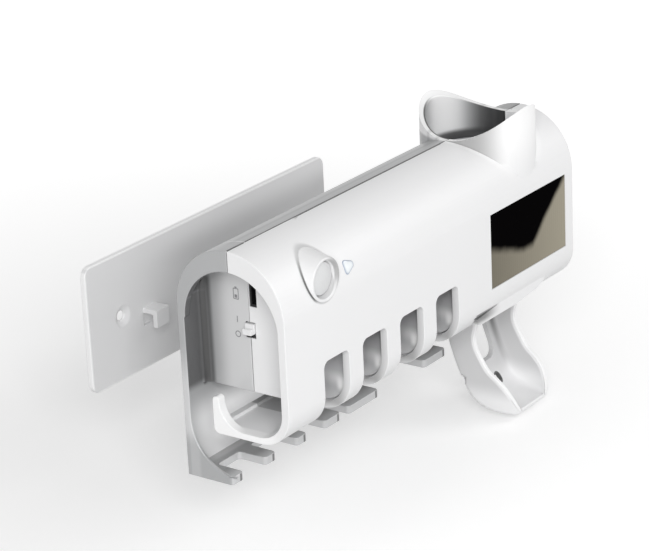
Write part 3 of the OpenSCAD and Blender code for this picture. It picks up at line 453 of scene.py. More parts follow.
@dataclass(frozen=True)
class MouldedPlastic:
    """Moulded plastic with mottling and a fine skin.

    Attributes:
        name: material name.
        colour: linear base colour.
        roughness: mean roughness.
        mottle: how much the colour wanders.
        peel_scale: size of the skin's grain, larger is finer.
        peel: depth of the grain, 0 to 1.
        bump_mm: height of the full grain in millimetres.
        coat: strength of the glossy top layer.
        coat_roughness: roughness of that layer.
        metallic: share of metal flake look.
        alpha: 1 for opaque.
        specular: strength of the plain reflection.
        marks: painted shade and painted highlights laid over it by the piece's own attributes, by name.
        shades: painted light and painted shade laid over it in places, and dark joint lines.
    """

    name: str
    colour: Colour
    roughness: float = 0.3
    mottle: float = 0.03
    peel_scale: float = 900.0
    peel: float = 0.4
    bump_mm: float = 0.01
    coat: float = 0.0
    coat_roughness: float = 0.06
    metallic: float = 0.0
    alpha: float = 1.0
    specular: float = 0.5
    marks: tuple[tuple[str, Colour], ...] = ()
    shades: tuple[Shade, ...] = ()

    def make(self, skin: Tree) -> bpy.types.Material:
        """Builds the material.

        Args:
            skin: the moulded plastic node group.

        Returns:
            The material.
        """
        material, tree, shader = new_material(self.name)
        group = group_node(tree, skin, {
            "Base": self.colour, "Mottle": self.mottle, "Roughness": self.roughness, "Peel scale": self.peel_scale,
            "Peel": self.peel,
        })
        raise_skin(tree, shader, group.outputs["Height"], self.bump_mm)
        colour = group.outputs["Color"]
        for label, other in self.marks:
            colour = mix_node(tree, colour, other, attribute_node(tree, label))
        for shade in self.shades:
            colour = shade.lay(tree, colour)
        fill(tree, shader, {
            "Base Color": colour, "Roughness": group.outputs["Roughness"], "Coat Weight": self.coat,
            "Coat Roughness": self.coat_roughness, "Metallic": self.metallic, "Alpha": self.alpha,
            "Specular IOR Level": self.specular,
        })
        return material


@dataclass(frozen=True)
class DrawnSteel:
    """Steel with fine drawn lines.

    Attributes:
        name: material name.
        colour: linear base colour.
        roughness: mean roughness.
        line_mm: height of the lines in millimetres.
    """

    name: str = "drawn_steel"
    colour: Colour = (0.6, 0.6, 0.62)
    roughness: float = 0.3
    line_mm: float = 0.01

    def make(self, lines: Tree) -> bpy.types.Material:
        """Builds the material.

        Args:
            lines: the drawn metal node group.

        Returns:
            The material.
        """
        material, tree, shader = new_material(self.name)
        group = group_node(tree, lines, {"Base": self.colour, "Roughness": self.roughness})
        raise_skin(tree, shader, group.outputs["Height"], self.line_mm)
        fill(tree, shader, {
            "Base Color": group.outputs["Color"], "Roughness": group.outputs["Roughness"], "Metallic": 1.0,
        })
        return material


@dataclass(frozen=True)
class MilkyLens:
    """Milky lens moulded in narrow upright strips.

    Attributes:
        name: material name.
        colour: linear base colour.
        strip_mm: width of a strip.
        depth_mm: height of the ridge between two strips.
    """

    name: str = "sensor_lens"
    colour: Colour = (0.7, 0.705, 0.71)
    strip_mm: float = 1.7
    depth_mm: float = 0.05

    def make(self, skin: Tree) -> bpy.types.Material:
        """Builds the material. Its relief is a sawtooth along X whose slopes are rounded to S curves.

        Args:
            skin: the moulded plastic node group.

        Returns:
            The material.
        """
        material, tree, shader = new_material(self.name)
        _, split = place_nodes(tree)
        half = self.strip_mm * MM / 2
        strip = math_node(tree, "PINGPONG", split.outputs["X"], half)
        raise_skin(tree, shader, range_node(tree, strip, 0.0, half, smooth=True), self.depth_mm)
        group = group_node(tree, skin, {"Base": self.colour, "Mottle": 0.06, "Roughness": 0.32})
        fill(tree, shader, {
            "Base Color": group.outputs["Color"], "Roughness": group.outputs["Roughness"], "Coat Weight": 0.2,
        })
        return material


@dataclass(frozen=True)
class RimmedLight:
    """Pale light window that darkens to grey blue at its rim, by the piece's own rim attribute.

    Attributes:
        name: material name.
        middle: linear colour of the pale part.
        rim: linear colour of the rim.
        cloud: how much the cloud in the pale part darkens it.
    """

    name: str = "light_window"
    middle: Colour = (0.93, 0.97, 0.99)
    rim: Colour = (0.36, 0.42, 0.52)
    cloud: float = 0.88

    def make(self) -> bpy.types.Material:
        """Builds the material, with a soft cloud in the pale part.

        Returns:
            The material.
        """
        material, tree, shader = new_material(self.name)
        place, _ = place_nodes(tree)
        clouded = tuple(self.cloud * c for c in self.middle)
        pale = mix_node(tree, self.middle, clouded, noise_node(tree, place, scale=300.0))
        fill(tree, shader, {
            "Base Color": mix_node(tree, pale, self.rim, attribute_node(tree, "rim")), "Roughness": 0.15,
            "Coat Weight": 0.4,
        })
        return material


@dataclass(frozen=True)
class SolarGlass:
    """Dark solar cells under glass: near black, with an olive painted reflection below a bent edge, and thin lines.

    The edge's height, as a share of the window's, is edge_left at the left. It falls by edge_fall times
    the share of the width up to fall_end, and rises again by edge_rise times that share from rise_start on.

    Attributes:
        name: material name.
        left: X of the window's left edge in metres.
        width: its width in metres.
        low: Z of its lower edge in metres.
        height: its height in metres.
        edge_left: height of the edge at the left.
        edge_fall: slope of the first part.
        fall_end: where the first part ends.
        rise_start: where the last part starts.
        edge_rise: slope of the last part.
        wander: how far noise shifts the edge.
        soft: heights below the edge where the painted reflection starts and is full.
        finger_mm: spacing of the thin lines.
        line_mm: half their width.
        line_light: how much lighter they are.
        dark: linear colour of the dark part.
        painted_reflection: linear colour of the painted reflection at the right.
        painted_reflection_left: share of that colour at the left.
    """

    name: str = "solar_cells"
    left: float = 0.0445
    width: float = 0.068
    low: float = -0.0004
    height: float = 0.0368
    edge_left: float = 0.56
    edge_fall: float = 0.64
    fall_end: float = 0.42
    rise_start: float = 0.55
    edge_rise: float = 1.6
    wander: float = 0.16
    soft: tuple[float, float] = (-0.06, 0.1)
    finger_mm: float = 1.9
    line_mm: float = 0.08
    line_light: float = 1.25
    dark: Colour = (0.0025, 0.0022, 0.0024)
    painted_reflection: Colour = (0.37, 0.34, 0.27)
    painted_reflection_left: float = 0.55

    def make(self) -> bpy.types.Material:
        """Builds the material.

        Returns:
            The material.
        """
        material, tree, shader = new_material(self.name)

        def step(kind: str, a: Feed, b: Feed) -> Socket:
            """Adds one math node to this material."""
            return math_node(tree, kind, a, b)

        place, split = place_nodes(tree)
        noise = noise_node(tree, place, scale=55.0, detail=3.0)
        across = step("MULTIPLY", step("SUBTRACT", split.outputs["X"], self.left), 1 / self.width)
        up = step("MULTIPLY", step("SUBTRACT", split.outputs["Z"], self.low), 1 / self.height)
        fall = step("MULTIPLY", step("MINIMUM", across, self.fall_end), self.edge_fall)
        past = step("MAXIMUM", step("SUBTRACT", across, self.rise_start), 0.0)
        edge = step("ADD", step("SUBTRACT", self.edge_left, fall), step("MULTIPLY", past, self.edge_rise))
        stray = step("MULTIPLY", step("SUBTRACT", noise, 0.5), self.wander)
        below = step("SUBTRACT", step("SUBTRACT", edge, up), stray)
        # Painted reflection: olive below the bent edge, fuller to the right; the shader's own reflection is off.
        tone = mix_node(tree, tuple(self.painted_reflection_left * c for c in self.painted_reflection), self.painted_reflection, across)
        cells = mix_node(tree, self.dark, tone, range_node(tree, below, *self.soft, smooth=True))
        comb = step("PINGPONG", split.outputs["X"], self.finger_mm * MM / 2)
        line = range_node(tree, comb, 0.0, self.line_mm * MM, (self.line_light, 1.0))
        fill(tree, shader, {
            "Base Color": mix_node(tree, cells, line, 1.0, "MULTIPLY"), "Roughness": 0.15, "Specular IOR Level": 0.0,
        })
        return material


# Painted light and painted shade laid over the finishes, and dark joint lines, each tuple in the order in which it is
# laid


def joint_shade(level: float, strength: float, behind: float) -> Shade:
    """Gives the dark line along the joint of the two shells, over the top of the arch only.

    Args:
        level: grey of the line.
        strength: its share at the joint.
        behind: how far behind the joint's middle the line lies, in millimetres.

    Returns:
        The shade.
    """
    over_arch = (Gate("X", 0.8, 1.0), Gate("Z", ARCH_Z + 20, ARCH_Z + 22))
    return Shade(grey(level), strength, (Gate("Y", 0.36, 0.22, SEAM_Y + behind), *over_arch))


def port_shade() -> Shade:
    """Gives the painted shade inside the openings of the end panel.

    Returns:
        The shade.
    """
    across = (Gate("X", 13.75, 14.1), Gate("X", 24, 22), Gate("Y", -38, -36), Gate("Y", -24, -26))
    return Shade(grey(0.02), 0.9, (*across, Gate("Z", 62, 64), Gate("Z", 98, 96)))


def cover_shades() -> tuple[Shade, ...]:
    """Gives the painted light and painted shade of the front cover, and its joint line.

    Returns:
        Painted light on the collar and the curled hook; the joint line; painted shade at the collar foot, in the
        creases and on the ring of the sensor rim and on the window walls; a painted shadow in the gap under
        the skirt; painted shade in the openings of the end panel.
    """
    # Painted light: the collar's front and the curled hook are lightened.
    collar_light = Shade(grey(0.99), 0.9, (Gate("XY", 32, 29, centre=COLLAR_AXIS), Gate("Z", 88, 116)))
    hook_light = Shade(grey(0.99), 0.9, (Gate("X", 6.5, 4.7), Gate("Z", 50, 44), Gate("Y", -54, -46)))
    # Painted shade in the crease at the collar's foot.
    foot_line = Gate("XY", 0.5, 0.2, 28.0, COLLAR_AXIS)
    collar_foot = Shade(grey(0.2), 0.75, (foot_line, Gate("X", 188, 174), Gate("Z", 98, 100)))
    # Painted shade in the crease round the sensor rim, darker at its left, and on the right of its ring.
    crease = (Gate("XZ", 22.9, 21.9, centre=EYE_AXIS, slope=-0.2), Gate("YZ", 29.6, 29.2, centre=ARCH_AXIS))
    rim_crease = Shade(grey(0.06), 0.3, crease)
    rim_left = Shade(grey(0.04), 0.8, (*crease, Gate("X", 26, 22), Gate("Z", 108, 94)))
    inside_rim = (Gate("XZ", 10.2, 10.0, centre=EYE_AXIS), Gate("Y", -56.8, -57.6))
    rim_ring = Shade(grey(0.25), 0.7, (*inside_rim, Gate("X", 30, 38), Gate("Z", 84, 93)))
    # Painted shade on the walls and sills inside each brush window.
    wall_reach = (Gate("Y", -58.0, -50.0), Gate("Z", 62, 58), Gate("Z", 23.5, 28.5))
    window_walls = (Shade(grey(0.2), 0.62, (Gate("X", 9.8, 9.55, x), *wall_reach)) for x in WINDOW_MIDDLES)
    # Painted shadow in the gap between the cover and the skirt.
    skirt = (Gate("Y", -57.4, -57.0), Gate("X", 175, 158), Gate("X", 151, 153), Gate("Z", 27.5, 31.0))
    skirt_gap = Shade(grey(0.08), 0.8, (*skirt, Gate("Z", 34.2, 33.8)))
    return (
        collar_light, hook_light, joint_shade(0.1, 0.5, 0.15), collar_foot, rim_crease, rim_left, rim_ring,
        *window_walls, skirt_gap, port_shade(),
    )


def end_hollow_shades(within: Gate) -> tuple[Shade, ...]:
    """Gives the painted shade in the hollow at the open end: the back wall's inside, and the arch's inside above it.

    Args:
        within: gate that keeps a shade off the back wall's outside.

    Returns:
        The two shades.
    """
    hollow = (Gate("X", 13.4, 13.0), Gate("X", 0.3, 0.6), Gate("Y", -22, -9))
    low = (within, Gate("Z", 39, 44), Gate("Z", 86, 84))
    high = (Gate("YZ", 27.6, 26.8, centre=ARCH_AXIS), Gate("Z", 84, 86), Gate("Z", 118, 108))
    return tuple(Shade(grey(0.08, 0.002), 0.85, (*hollow, *gates)) for gates in (low, high))


def collar_shades() -> tuple[Shade, ...]:
    """Gives the painted light and painted shade of the collar's rear half.

    Returns:
        Painted reflection and painted shade in the bore, painted light on the rim, a painted shade line inside it.
    """
    bore = Gate("XY", 25.7, 25.4, centre=COLLAR_AXIS)
    upper = (bore, Gate("Z", 98, 102))
    bore_light = Shade(grey(0.99), 1.0, (Gate("X", 19, 3, middle=206), *upper))
    bore_dark = Shade(grey(0.02), 0.9, (Gate("X", 214, 225), *upper))
    bore_left = Shade(grey(0.08), 0.6, (Gate("X", 192, 182), *upper))
    bore_low = Shade(grey(0.03), 0.85, (bore, Gate("Z", 103, 100), Gate("Z", 60, 70)))
    band = (Gate("XY", 25.4, 25.7, centre=COLLAR_AXIS), Gate("XY", 28.9, 28.5, centre=COLLAR_AXIS))
    rim = Shade(grey(0.95), 0.85, (*band, Gate("Z", 109.5, 111.5)))
    inner_line = Gate("XY", 0.55, 0.2, 25.4, COLLAR_AXIS)
    rim_line = Shade(grey(0.03), 0.85, (inner_line, Gate("X", 202, 186), Gate("Z", 108, 110)))
    return (bore_light, bore_dark, bore_left, bore_low, rim, rim_line)


def rack_shades() -> tuple[Shade, ...]:
    """Gives the painted light and painted shade of the rack and its prongs.

    Returns:
        Painted light on the shelf top, painted shade at prong roots, dark painted reflection at prong right corners.
    """
    past_end = Gate("X", 0.2, 0.6)
    shelf_light = Shade(grey(0.8, 0.005), 0.45, (Gate("Z", 10, 7), Gate("Y", -6, -8.5), past_end))
    prong_top = (Gate("Z", 3.6, 3.8), Gate("Z", 4.6, 4.3), Gate("Y", -24.5, -17))
    prong_dark = Shade(grey(0.16), 0.6, (*prong_top, past_end))
    front = (Gate("Y", -24.0, -24.4), Gate("Z", 3.9, 3.6))
    prong_lines = (Shade(grey(0.04), 0.75, (Gate("X", 1.0, 0.45, end - 2.4), *front)) for end in PRONG_ENDS)
    return (shelf_light, prong_dark, *prong_lines)


def shell_shades() -> tuple[Shade, ...]:
    """Gives the joint line and the painted light and painted shade of the rear shell.

    Returns:
        Joint line; painted shade in the hollow; painted light and shade of the collar and the rack; painted shade
        in the openings of the end panel; painted light on the back wall below the panel, the end edge and the
        panel; painted shade in the fillet beside it and at the roof's right end; two soft dark streaks of painted
        reflection along the roof.
    """
    within = Gate("Y", -1.6, -2.6)
    # Painted light on the back wall below the panel and on the end edge.
    inner_light = Shade(grey(0.98, 0.005), 0.9, (Gate("Z", 40, 24), Gate("Y", -8.5, -6), Gate("X", -6, 20), within))
    end_light = Shade(grey(0.85, 0.005), 0.5, (Gate("X", 0.5, 0.2), Gate("Z", 66, 40), Gate("Z", 14, 24)))
    # Painted light on the panel, painted shade in the fillet beside it.
    at_panel = Gate("X", 14.0, 13.7)
    panel_light = Shade(grey(0.72, 0.005), 0.7, (at_panel, Gate("X", 12.6, 13.2), Gate("Y", -6, -19)))
    beside_panel = (Gate("X", 10.8, 11.6), at_panel, Gate("Y", -9.5, -6.5))
    fillet_dark = Shade(grey(0.05), 0.8, (*beside_panel, Gate("Z", 39, 42), within, Gate("Z", 94, 90)))
    # Painted shade at the roof's right end; two soft dark streaks of painted reflection along the roof.
    roof_end = Shade(grey(0.18), 0.6, (Gate("X", 226, 230), Gate("Z", 98, 102), Gate("X", 240, 239)))
    roof = (Gate("Z", 98, 102), Gate("X", 1.5, 20.0))
    roof_streaks = (Shade(grey(0.12), 0.25, (Gate("Y", 1.8, 0.2, y), *roof)) for y in (-23.5, -17.5))
    return (
        joint_shade(0.05, 0.9, 0.3), *end_hollow_shades(within), *collar_shades(), port_shade(), inner_light,
        end_light, *rack_shades(), panel_light, fillet_dark, roof_end, *roof_streaks,
    )


def lever_shades() -> tuple[Shade, ...]:
    """Gives the painted light and painted shade of the lever.

    Returns:
        Painted light on the toe and painted shade in the drain.
    """
    toe_light = Shade(grey(0.95, 0.005), 0.9, (Gate("Z", -14.0, -25.0),))
    drain_dark = Shade(grey(0.05), 0.9, (Gate("XZ", 2.7, 2.35, centre=(205, -21.5)), Gate("Y", -31, -32)))
    return (toe_light, drain_dark)


def plate_shades() -> tuple[Shade, ...]:
    """Gives the painted highlights and the painted shadow of the wall plate.

    Returns:
        Painted highlights on the upper, left and lower rim, and the painted soft shadow of the holder.
    """
    edges = (Gate("Z", 74.4, 74.9), Gate("X", 26.4, 25.9), Gate("Z", 13.6, 13.1))
    shadow = Shade(grey(0.4, 0.005), 0.5, (Gate("X", 60, 112), Gate("Z", 73, 59), Gate("Y", 75.6, 75.2)))
    return (*(Shade(grey(0.95), 0.8, (edge,)) for edge in edges), shadow)


def rib_shades() -> tuple[Shade, ...]:
    """Gives the painted light and painted shade of the ribs that show through the brush windows.

    Returns:
        Painted shade at the top, painted light at the foot, a painted highlight streak and a painted highlight spot.
    """
    dark = Shade(grey(0.1), 0.7, (Gate("Z", 38, 55), Gate("Y", -37, -42)))
    low = Shade(grey(0.85), 0.6, (Gate("Z", 34, 27),))
    streak = Shade(grey(0.9), 0.6, (Gate("Z", 4.5, 0.0, middle=38.5), Gate("Y", -38, -50)))
    spot = Shade(grey(1.0), 1.0, (Gate("Z", 4.5, 0.8, middle=36.2), Gate("Y", 3.8, 0.8, middle=-51.4)))
    return (dark, low, streak, spot)


def plastics() -> dict[str, MouldedPlastic]:
    """Gives every moulded finish.

    Returns:
        The finishes by key. The numbers after each colour are roughness, mottle, grain size, grain depth
        and height of the grain.
    """
    white = MouldedPlastic("part_white", grey(0.85, 0.005), 0.4, 0.02, 700.0, 0.5, 0.006)
    silver = MouldedPlastic(
        "part_silver", (0.42, 0.425, 0.43), 0.3, 0.06, 1500.0, 0.6, 0.008, coat=0.15, metallic=0.4
    )
    # Lever: white darkened as painted shade; painted shade in its inner fold, painted highlight along its rim.
    lever_painted_marks = (("fold", grey(0.14)), ("rim", grey(0.96, 0.005)))
    return {
        "white": white,
        "cover": replace(white, name="cover_white", shades=cover_shades()),
        "silver": silver,
        "shell": replace(
            silver, name="shell_silver", roughness=0.32, coat=0.0, metallic=0.2, shades=shell_shades()
        ),
        "lever": replace(
            white, name="lever_white_painted_shade", colour=grey(0.68, 0.005), mottle=0.03, specular=0.35, marks=lever_painted_marks,
            shades=lever_shades(),
        ),
        "plate": MouldedPlastic(
            "plate_grey", grey(0.78, 0.005), 0.42, 0.03, 1300.0, 0.8, 0.012, shades=plate_shades()
        ),
        "liner": MouldedPlastic(
            "liner_grey", (0.55, 0.55, 0.56), 0.25, 0.05, 1300.0, 0.6, 0.01, metallic=0.3, shades=rib_shades()
        ),
        "board": MouldedPlastic("board_green", (0.03, 0.16, 0.07), 0.35, 0.2, 500.0, 0.8, 0.02, coat=0.4),
        "black": MouldedPlastic(
            "black_plastic", (0.012, 0.012, 0.013), 0.35, 0.1, 1200.0, 0.5, 0.01, specular=0.3
        ),
        "lamp": MouldedPlastic("lamp_gold", (0.75, 0.6, 0.2), 0.25, 0.05),
        "quartz": MouldedPlastic("lamp_window", (0.75, 0.82, 0.98), 0.08, 0.02, alpha=0.5, coat=0.5),
        "cell": MouldedPlastic("cell_wrap", (0.05, 0.2, 0.5), 0.25, 0.05, coat=0.4),
        "light": MouldedPlastic("light_body", (0.7, 0.85, 0.9), 0.2, 0.1, coat=0.4),
        "seal": MouldedPlastic("seal_rubber", (0.5, 0.2, 0.17), 0.6, 0.08, 900.0, 1.0, 0.02),
        "pump": MouldedPlastic("pump_plastic", (0.55, 0.56, 0.58), 0.35, 0.04),
        "wire": MouldedPlastic("wire_sleeve", (0.02, 0.02, 0.022), 0.5, 0.1),
        "red_wire": MouldedPlastic("wire_sleeve_red", (0.5, 0.03, 0.02), 0.5, 0.1),
        "ink": MouldedPlastic("printed_grey", (0.26, 0.26, 0.27), 0.5, 0.05),
    }


class Finishes:
    """Every material of the holder, built once."""

    def __init__(self) -> None:
        """Builds the shared groups and the materials."""
        skin, lines = moulded_group(), brushed_group()
        self.all = {key: finish.make(skin) for key, finish in plastics().items()}
        self.all["steel"] = DrawnSteel().make(lines)
        self.all["solar"] = SolarGlass().make()
        self.all["lens"] = MilkyLens().make(skin)
        self.all["light_rim"] = RimmedLight().make()

    def put(self, obj: bpy.types.Object, key: str) -> None:
        """Gives a piece one finish."""
        obj.data.materials.clear()
        obj.data.materials.append(self.all[key])

    def dress_node(self, node: str, key: str) -> None:
        """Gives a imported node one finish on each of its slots.

        Args:
            node: the node's name.
            key: the finish's key.
        """
        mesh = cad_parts[node].data
        if not mesh.materials:
            mesh.materials.append(self.all[key])
        for k in range(len(mesh.materials)):
            mesh.materials[k] = self.all[key]


# Making pieces


def place_piece(obj: bpy.types.Object, body: Body, nodes: tuple[str, ...] = ()) -> bpy.types.Object:
    """Ties a finished piece to its body and reports it.

    Args:
        obj: the piece.
        body: the body that it rides on.
        nodes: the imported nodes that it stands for.

    Returns:
        The piece.
    """
    if nodes:
        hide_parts(*nodes)
    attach(obj, body.value)
    log.info("%s: %d faces on %s", obj.name, len(obj.data.polygons), body.value)
    return obj


def new_piece(name: str, mesh: bpy.types.Mesh) -> bpy.types.Object:
    """Puts a mesh into the scene as an object at the origin.

    Args:
        name: the object's name.
        mesh: its mesh.

    Returns:
        The object.
    """
    obj = bpy.data.objects.new(name, mesh)
    bpy.context.scene.collection.objects.link(obj)
    return obj


def mesh_from(name: str, points: np.ndarray, faces: list) -> bpy.types.Mesh:
    """Makes a mesh from points in millimetres of the holder's own corner.

    Args:
        name: the mesh's name.
        points: n by 3 array, counted from the holder's corner.
        faces: lists or an array of point numbers.

    Returns:
        The mesh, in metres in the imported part's frame.
    """
    mesh = bpy.data.meshes.new(name)
    mesh.from_pydata(((points + CORNER) * MM).tolist(), [], [list(map(int, f)) for f in faces])
    mesh.validate()
    mesh.update()
    return mesh


def net_over(shape: bmesh.types.BMesh, step: float, angle: float) -> None:
    """Cuts a mesh by planes across X.

    Args:
        shape: the mesh.
        step: spacing of the planes in millimetres.
        angle: edges that turn by more than this many degrees count as sharp.
    """
    for x in net_planes(shape, step * MM, math.radians(angle)):
        whole = shape.verts[:] + shape.edges[:] + shape.faces[:]
        bmesh.ops.bisect_plane(shape, geom=whole, dist=PLANE_REACH, plane_co=(x, 0, 0), plane_no=(1, 0, 0))


def keep_above(shape: bmesh.types.BMesh, height: float) -> None:
    """Cuts away what lies below a height and closes the cut.

    Args:
        shape: the mesh.
        height: the height, counted from the holder's corner in millimetres.
    """
    whole = shape.verts[:] + shape.edges[:] + shape.faces[:]
    level = (0.0, 0.0, (height + CORNER[2]) * MM)
    bmesh.ops.bisect_plane(shape, geom=whole, dist=PLANE_REACH, plane_co=level, plane_no=(0, 0, 1), clear_inner=True)
    bmesh.ops.holes_fill(shape, edges=[e for e in shape.edges if e.is_boundary], sides=0)


def softened(
    node: str,
    name: str,
    width: float,
    step: float = 0.0,
    plain: tuple[Box, ...] = (),
    angle: float = 28.0,
    above: float | None = None,
) -> bpy.types.Object:
    """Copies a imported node, joins its loose triangles into clean faces and rounds its edges.

    The copy is first cut by planes across X at even steps, so that the long strips of a curved wall
    become a regular net and shade evenly beside an opening.

    Args:
        node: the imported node's name.
        name: the new piece's name.
        width: width of the rounded edge in millimetres.
        step: spacing of the planes in millimetres, 0 for none.
        plain: boxes (low x, y, z, high x, y, z) counted from the holder's corner whose edges stay sharp.
        angle: edges that turn by more than this many degrees are rounded.
        above: keeps only what lies above this height, counted from the holder's corner.

    Returns:
        The new object.
    """
    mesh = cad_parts[node].data.copy()
    mesh.name = name
    shape = bmesh.new()
    shape.from_mesh(mesh)
    bmesh.ops.remove_doubles(shape, verts=shape.verts[:], dist=NODE_WELD)
    bmesh.ops.dissolve_limit(
        shape,
        angle_limit=math.radians(FLAT_ANGLE),
        verts=shape.verts[:],
        edges=shape.edges[:],
        use_dissolve_boundaries=False,
    )
    if above is not None:
        keep_above(shape, above)
    if step:
        net_over(shape, step, angle)
    weight = shape.edges.layers.float.new("bevel_weight_edge")
    boxes = [(Vector((np.array(b[:3]) + CORNER) * MM), Vector((np.array(b[3:]) + CORNER) * MM)) for b in plain]
    for edge in shape.edges:
        if edge.is_boundary or edge.calc_face_angle(0.0) < math.radians(angle):
            continue
        middle = (edge.verts[0].co + edge.verts[1].co) / 2
        held = any(all(a[i] < middle[i] < b[i] for i in range(3)) for a, b in boxes)
        edge[weight] = 0.0 if held else 1.0
        edge.smooth = not held
    for face in shape.faces:
        face.smooth = True
    shape.to_mesh(mesh)
    shape.free()
    for layer in ("custom_normal", "sharp_face"):
        if layer in mesh.attributes:
            mesh.attributes.remove(mesh.attributes[layer])
    obj = new_piece(name, mesh)
    round_edges(obj, width)
    return obj


def net_planes(shape: bmesh.types.BMesh, step: float, angle: float) -> list[float]:
    """Chooses planes across X at about even steps, each where no sharp edge runs along it.

    Each plane may shift a little. Of the places tried, it takes the one whose nearby sharp edges lie
    least along it, and it is left out where even that one lies too much along an edge.

    Args:
        shape: the mesh to cut.
        step: wanted spacing in metres.
        angle: edges that turn by more than this many radians count as sharp.

    Returns:
        The X of each plane.
    """
    sharp = [e for e in shape.edges if not e.is_boundary and e.calc_face_angle(0.0) > angle]
    ends = np.array([sorted(v.co.x for v in e.verts) for e in sharp])
    slope = (ends[:, 1] - ends[:, 0]) / np.array([max(e.calc_length(), 1e-9) for e in sharp])
    xs = np.array([v.co.x for v in shape.verts])
    first, last, shift, places = 0.4, 0.1, 0.35, 21
    clear, least_slope, shift_cost = 0.3 * MM, 0.3, 0.02
    planes = []
    for x in np.arange(xs.min() + first * step, xs.max() - last * step, step):
        tries = x + step * np.linspace(-shift, shift, places)
        near = (tries[:, None] > ends[None, :, 0] - clear) & (tries[:, None] < ends[None, :, 1] + clear)
        worst = np.where(near, slope[None, :], 1.0).min(axis=1)
        if worst.max() > least_slope:
            planes.append(float(tries[np.argmax(worst - shift_cost * np.abs(tries - x) / step)]))
    return planes


def round_edges(obj: bpy.types.Object, width: float, segments: int = 3) -> None:
    """Rounds the weighted edges of a piece and evens its shading by face area.

    Args:
        obj: the piece, whose edges hold bevel weights.
        width: width of the rounded edge in millimetres.
        segments: steps across the rounded edge.
    """
    bevel = obj.modifiers.new("rounded edges", "BEVEL")
    bevel.width = width * MM
    bevel.segments = segments
    bevel.limit_method = "WEIGHT"
    bevel.use_clamp_overlap = False
    bevel.miter_outer = "MITER_ARC"
    even = obj.modifiers.new("even shading", "WEIGHTED_NORMAL")
    even.mode = "FACE_AREA_WITH_ANGLE"
    even.weight = 60
    even.keep_sharp = True


def weigh_sharp(shape: bmesh.types.BMesh, angle: float) -> None:
    """Gives the sharp edges of a mesh a full bevel weight.

    Args:
        shape: the mesh.
        angle: edges that turn by more than this many degrees are sharp.
    """
    weight = shape.edges.layers.float.new("bevel_weight_edge")
    for edge in shape.edges:
        if not edge.is_boundary and edge.calc_face_angle(0.0) > math.radians(angle):
            edge[weight] = 1.0


def cut_by(obj: bpy.types.Object, tools: list[bpy.types.Object]) -> None:
    """Cuts solids out of a piece, keeps the result as its mesh and removes the solids.

    Args:
        obj: the piece.
        tools: the solids.
    """
    for tool in tools:
        cut = obj.modifiers.new("cut", "BOOLEAN")
        cut.operation = "DIFFERENCE"
        cut.solver = "EXACT"
        cut.object = tool
    bpy.context.view_layer.update()
    result = bpy.data.meshes.new_from_object(obj.evaluated_get(bpy.context.evaluated_depsgraph_get()))
    obj.modifiers.clear()
    obj.data = result
    for tool in tools:
        bpy.data.objects.remove(tool)


def grid_faces(rows: int, columns: int, closed: bool) -> np.ndarray:
    """Gives the four-sided faces of a grid of points, row by row.

    Args:
        rows: number of rows.
        columns: points in a row.
        closed: whether each row joins up with its own start.

    Returns:
        Array of faces with four point numbers each.
    """
    i, k = np.meshgrid(np.arange(rows - 1), np.arange(columns if closed else columns - 1), indexing="ij")
    a, b = i * columns + k, i * columns + (k + 1) % columns
    return np.stack([a, b, b + columns, a + columns], -1).reshape(-1, 4)


def closed_up(mesh: bpy.types.Mesh, angle: float = 40.0) -> bpy.types.Mesh:
    """Closes a mesh's open ends, turns its faces outwards, smooths it and weighs its sharp edges.

    Args:
        mesh: the mesh, which is changed.
        angle: edges that turn by more than this many degrees are sharp.

    Returns:
        The same mesh.
    """
    shape = bmesh.new()
    shape.from_mesh(mesh)
    bmesh.ops.remove_doubles(shape, verts=shape.verts[:], dist=PIECE_WELD)
    bmesh.ops.holes_fill(shape, edges=[e for e in shape.edges if e.is_boundary], sides=0)
    bmesh.ops.recalc_face_normals(shape, faces=shape.faces[:])
    weigh_sharp(shape, angle)
    for face in shape.faces:
        face.smooth = True
    shape.to_mesh(mesh)
    shape.free()
    return mesh


def rounded_outline(half_y: float, half_z: float, radius: float, steps: int = 8) -> np.ndarray:
    """Gives a rounded rectangle: each corner's centre plus the radius times cosine and sine.

    Args:
        half_y: half its first side.
        half_z: half its second side.
        radius: radius of its corners.
        steps: points round each corner.

    Returns:
        Array of points, four times the steps by two.
    """
    angle = (np.arange(4)[:, None] * 90 + np.linspace(0, 90, steps)[None, :]) * np.pi / 180
    sign_y, sign_z = np.array([1, -1, -1, 1])[:, None], np.array([1, 1, -1, -1])[:, None]
    y = sign_y * (half_y - radius) + radius * np.cos(angle)
    z = sign_z * (half_z - radius) + radius * np.sin(angle)
    return np.stack([y, z], -1).reshape(-1, 2)


@dataclass
class PlainNodes:
    """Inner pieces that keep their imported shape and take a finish."""

    finishes: Finishes

    def build(self) -> None:
        """Dresses each inner node."""
        keys = {
            "housing_screws": "steel", "uv_board": "board", "uv_lamps": "lamp", "uv_windows": "quartz",
            "main_board": "board", "board_parts": "black", "battery_cell": "cell", "battery_cradle": "black",
            "charge_socket": "black", "switch_body": "steel", "pir_sensor": "steel",
            "sensor_board": "board", "status_led": "light", "battery_leads": "red_wire", "panel_leads": "wire",
            "lamp_leads": "wire", "tube_seal": "seal", "pump_body": "pump", "pump_cap": "pump",
            "pump_piston": "pump", "piston_seal": "black", "return_spring": "steel", "outlet_valve": "seal",
            "nozzle": "pump", "lever_pin": "steel", "tube_socket": "pump", "solar_panel": "solar",
            "light_pipe": "light", "pir_lens": "lens", "wall_plate": "plate", "rear_housing": "silver",
            "front_cover": "white", "push_lever": "white", "chamber_liner": "liner", "switch_slider": "white",
        }
        for node, key in keys.items():
            self.finishes.dress_node(node, key)
            log.info("%s: %s", node, key)


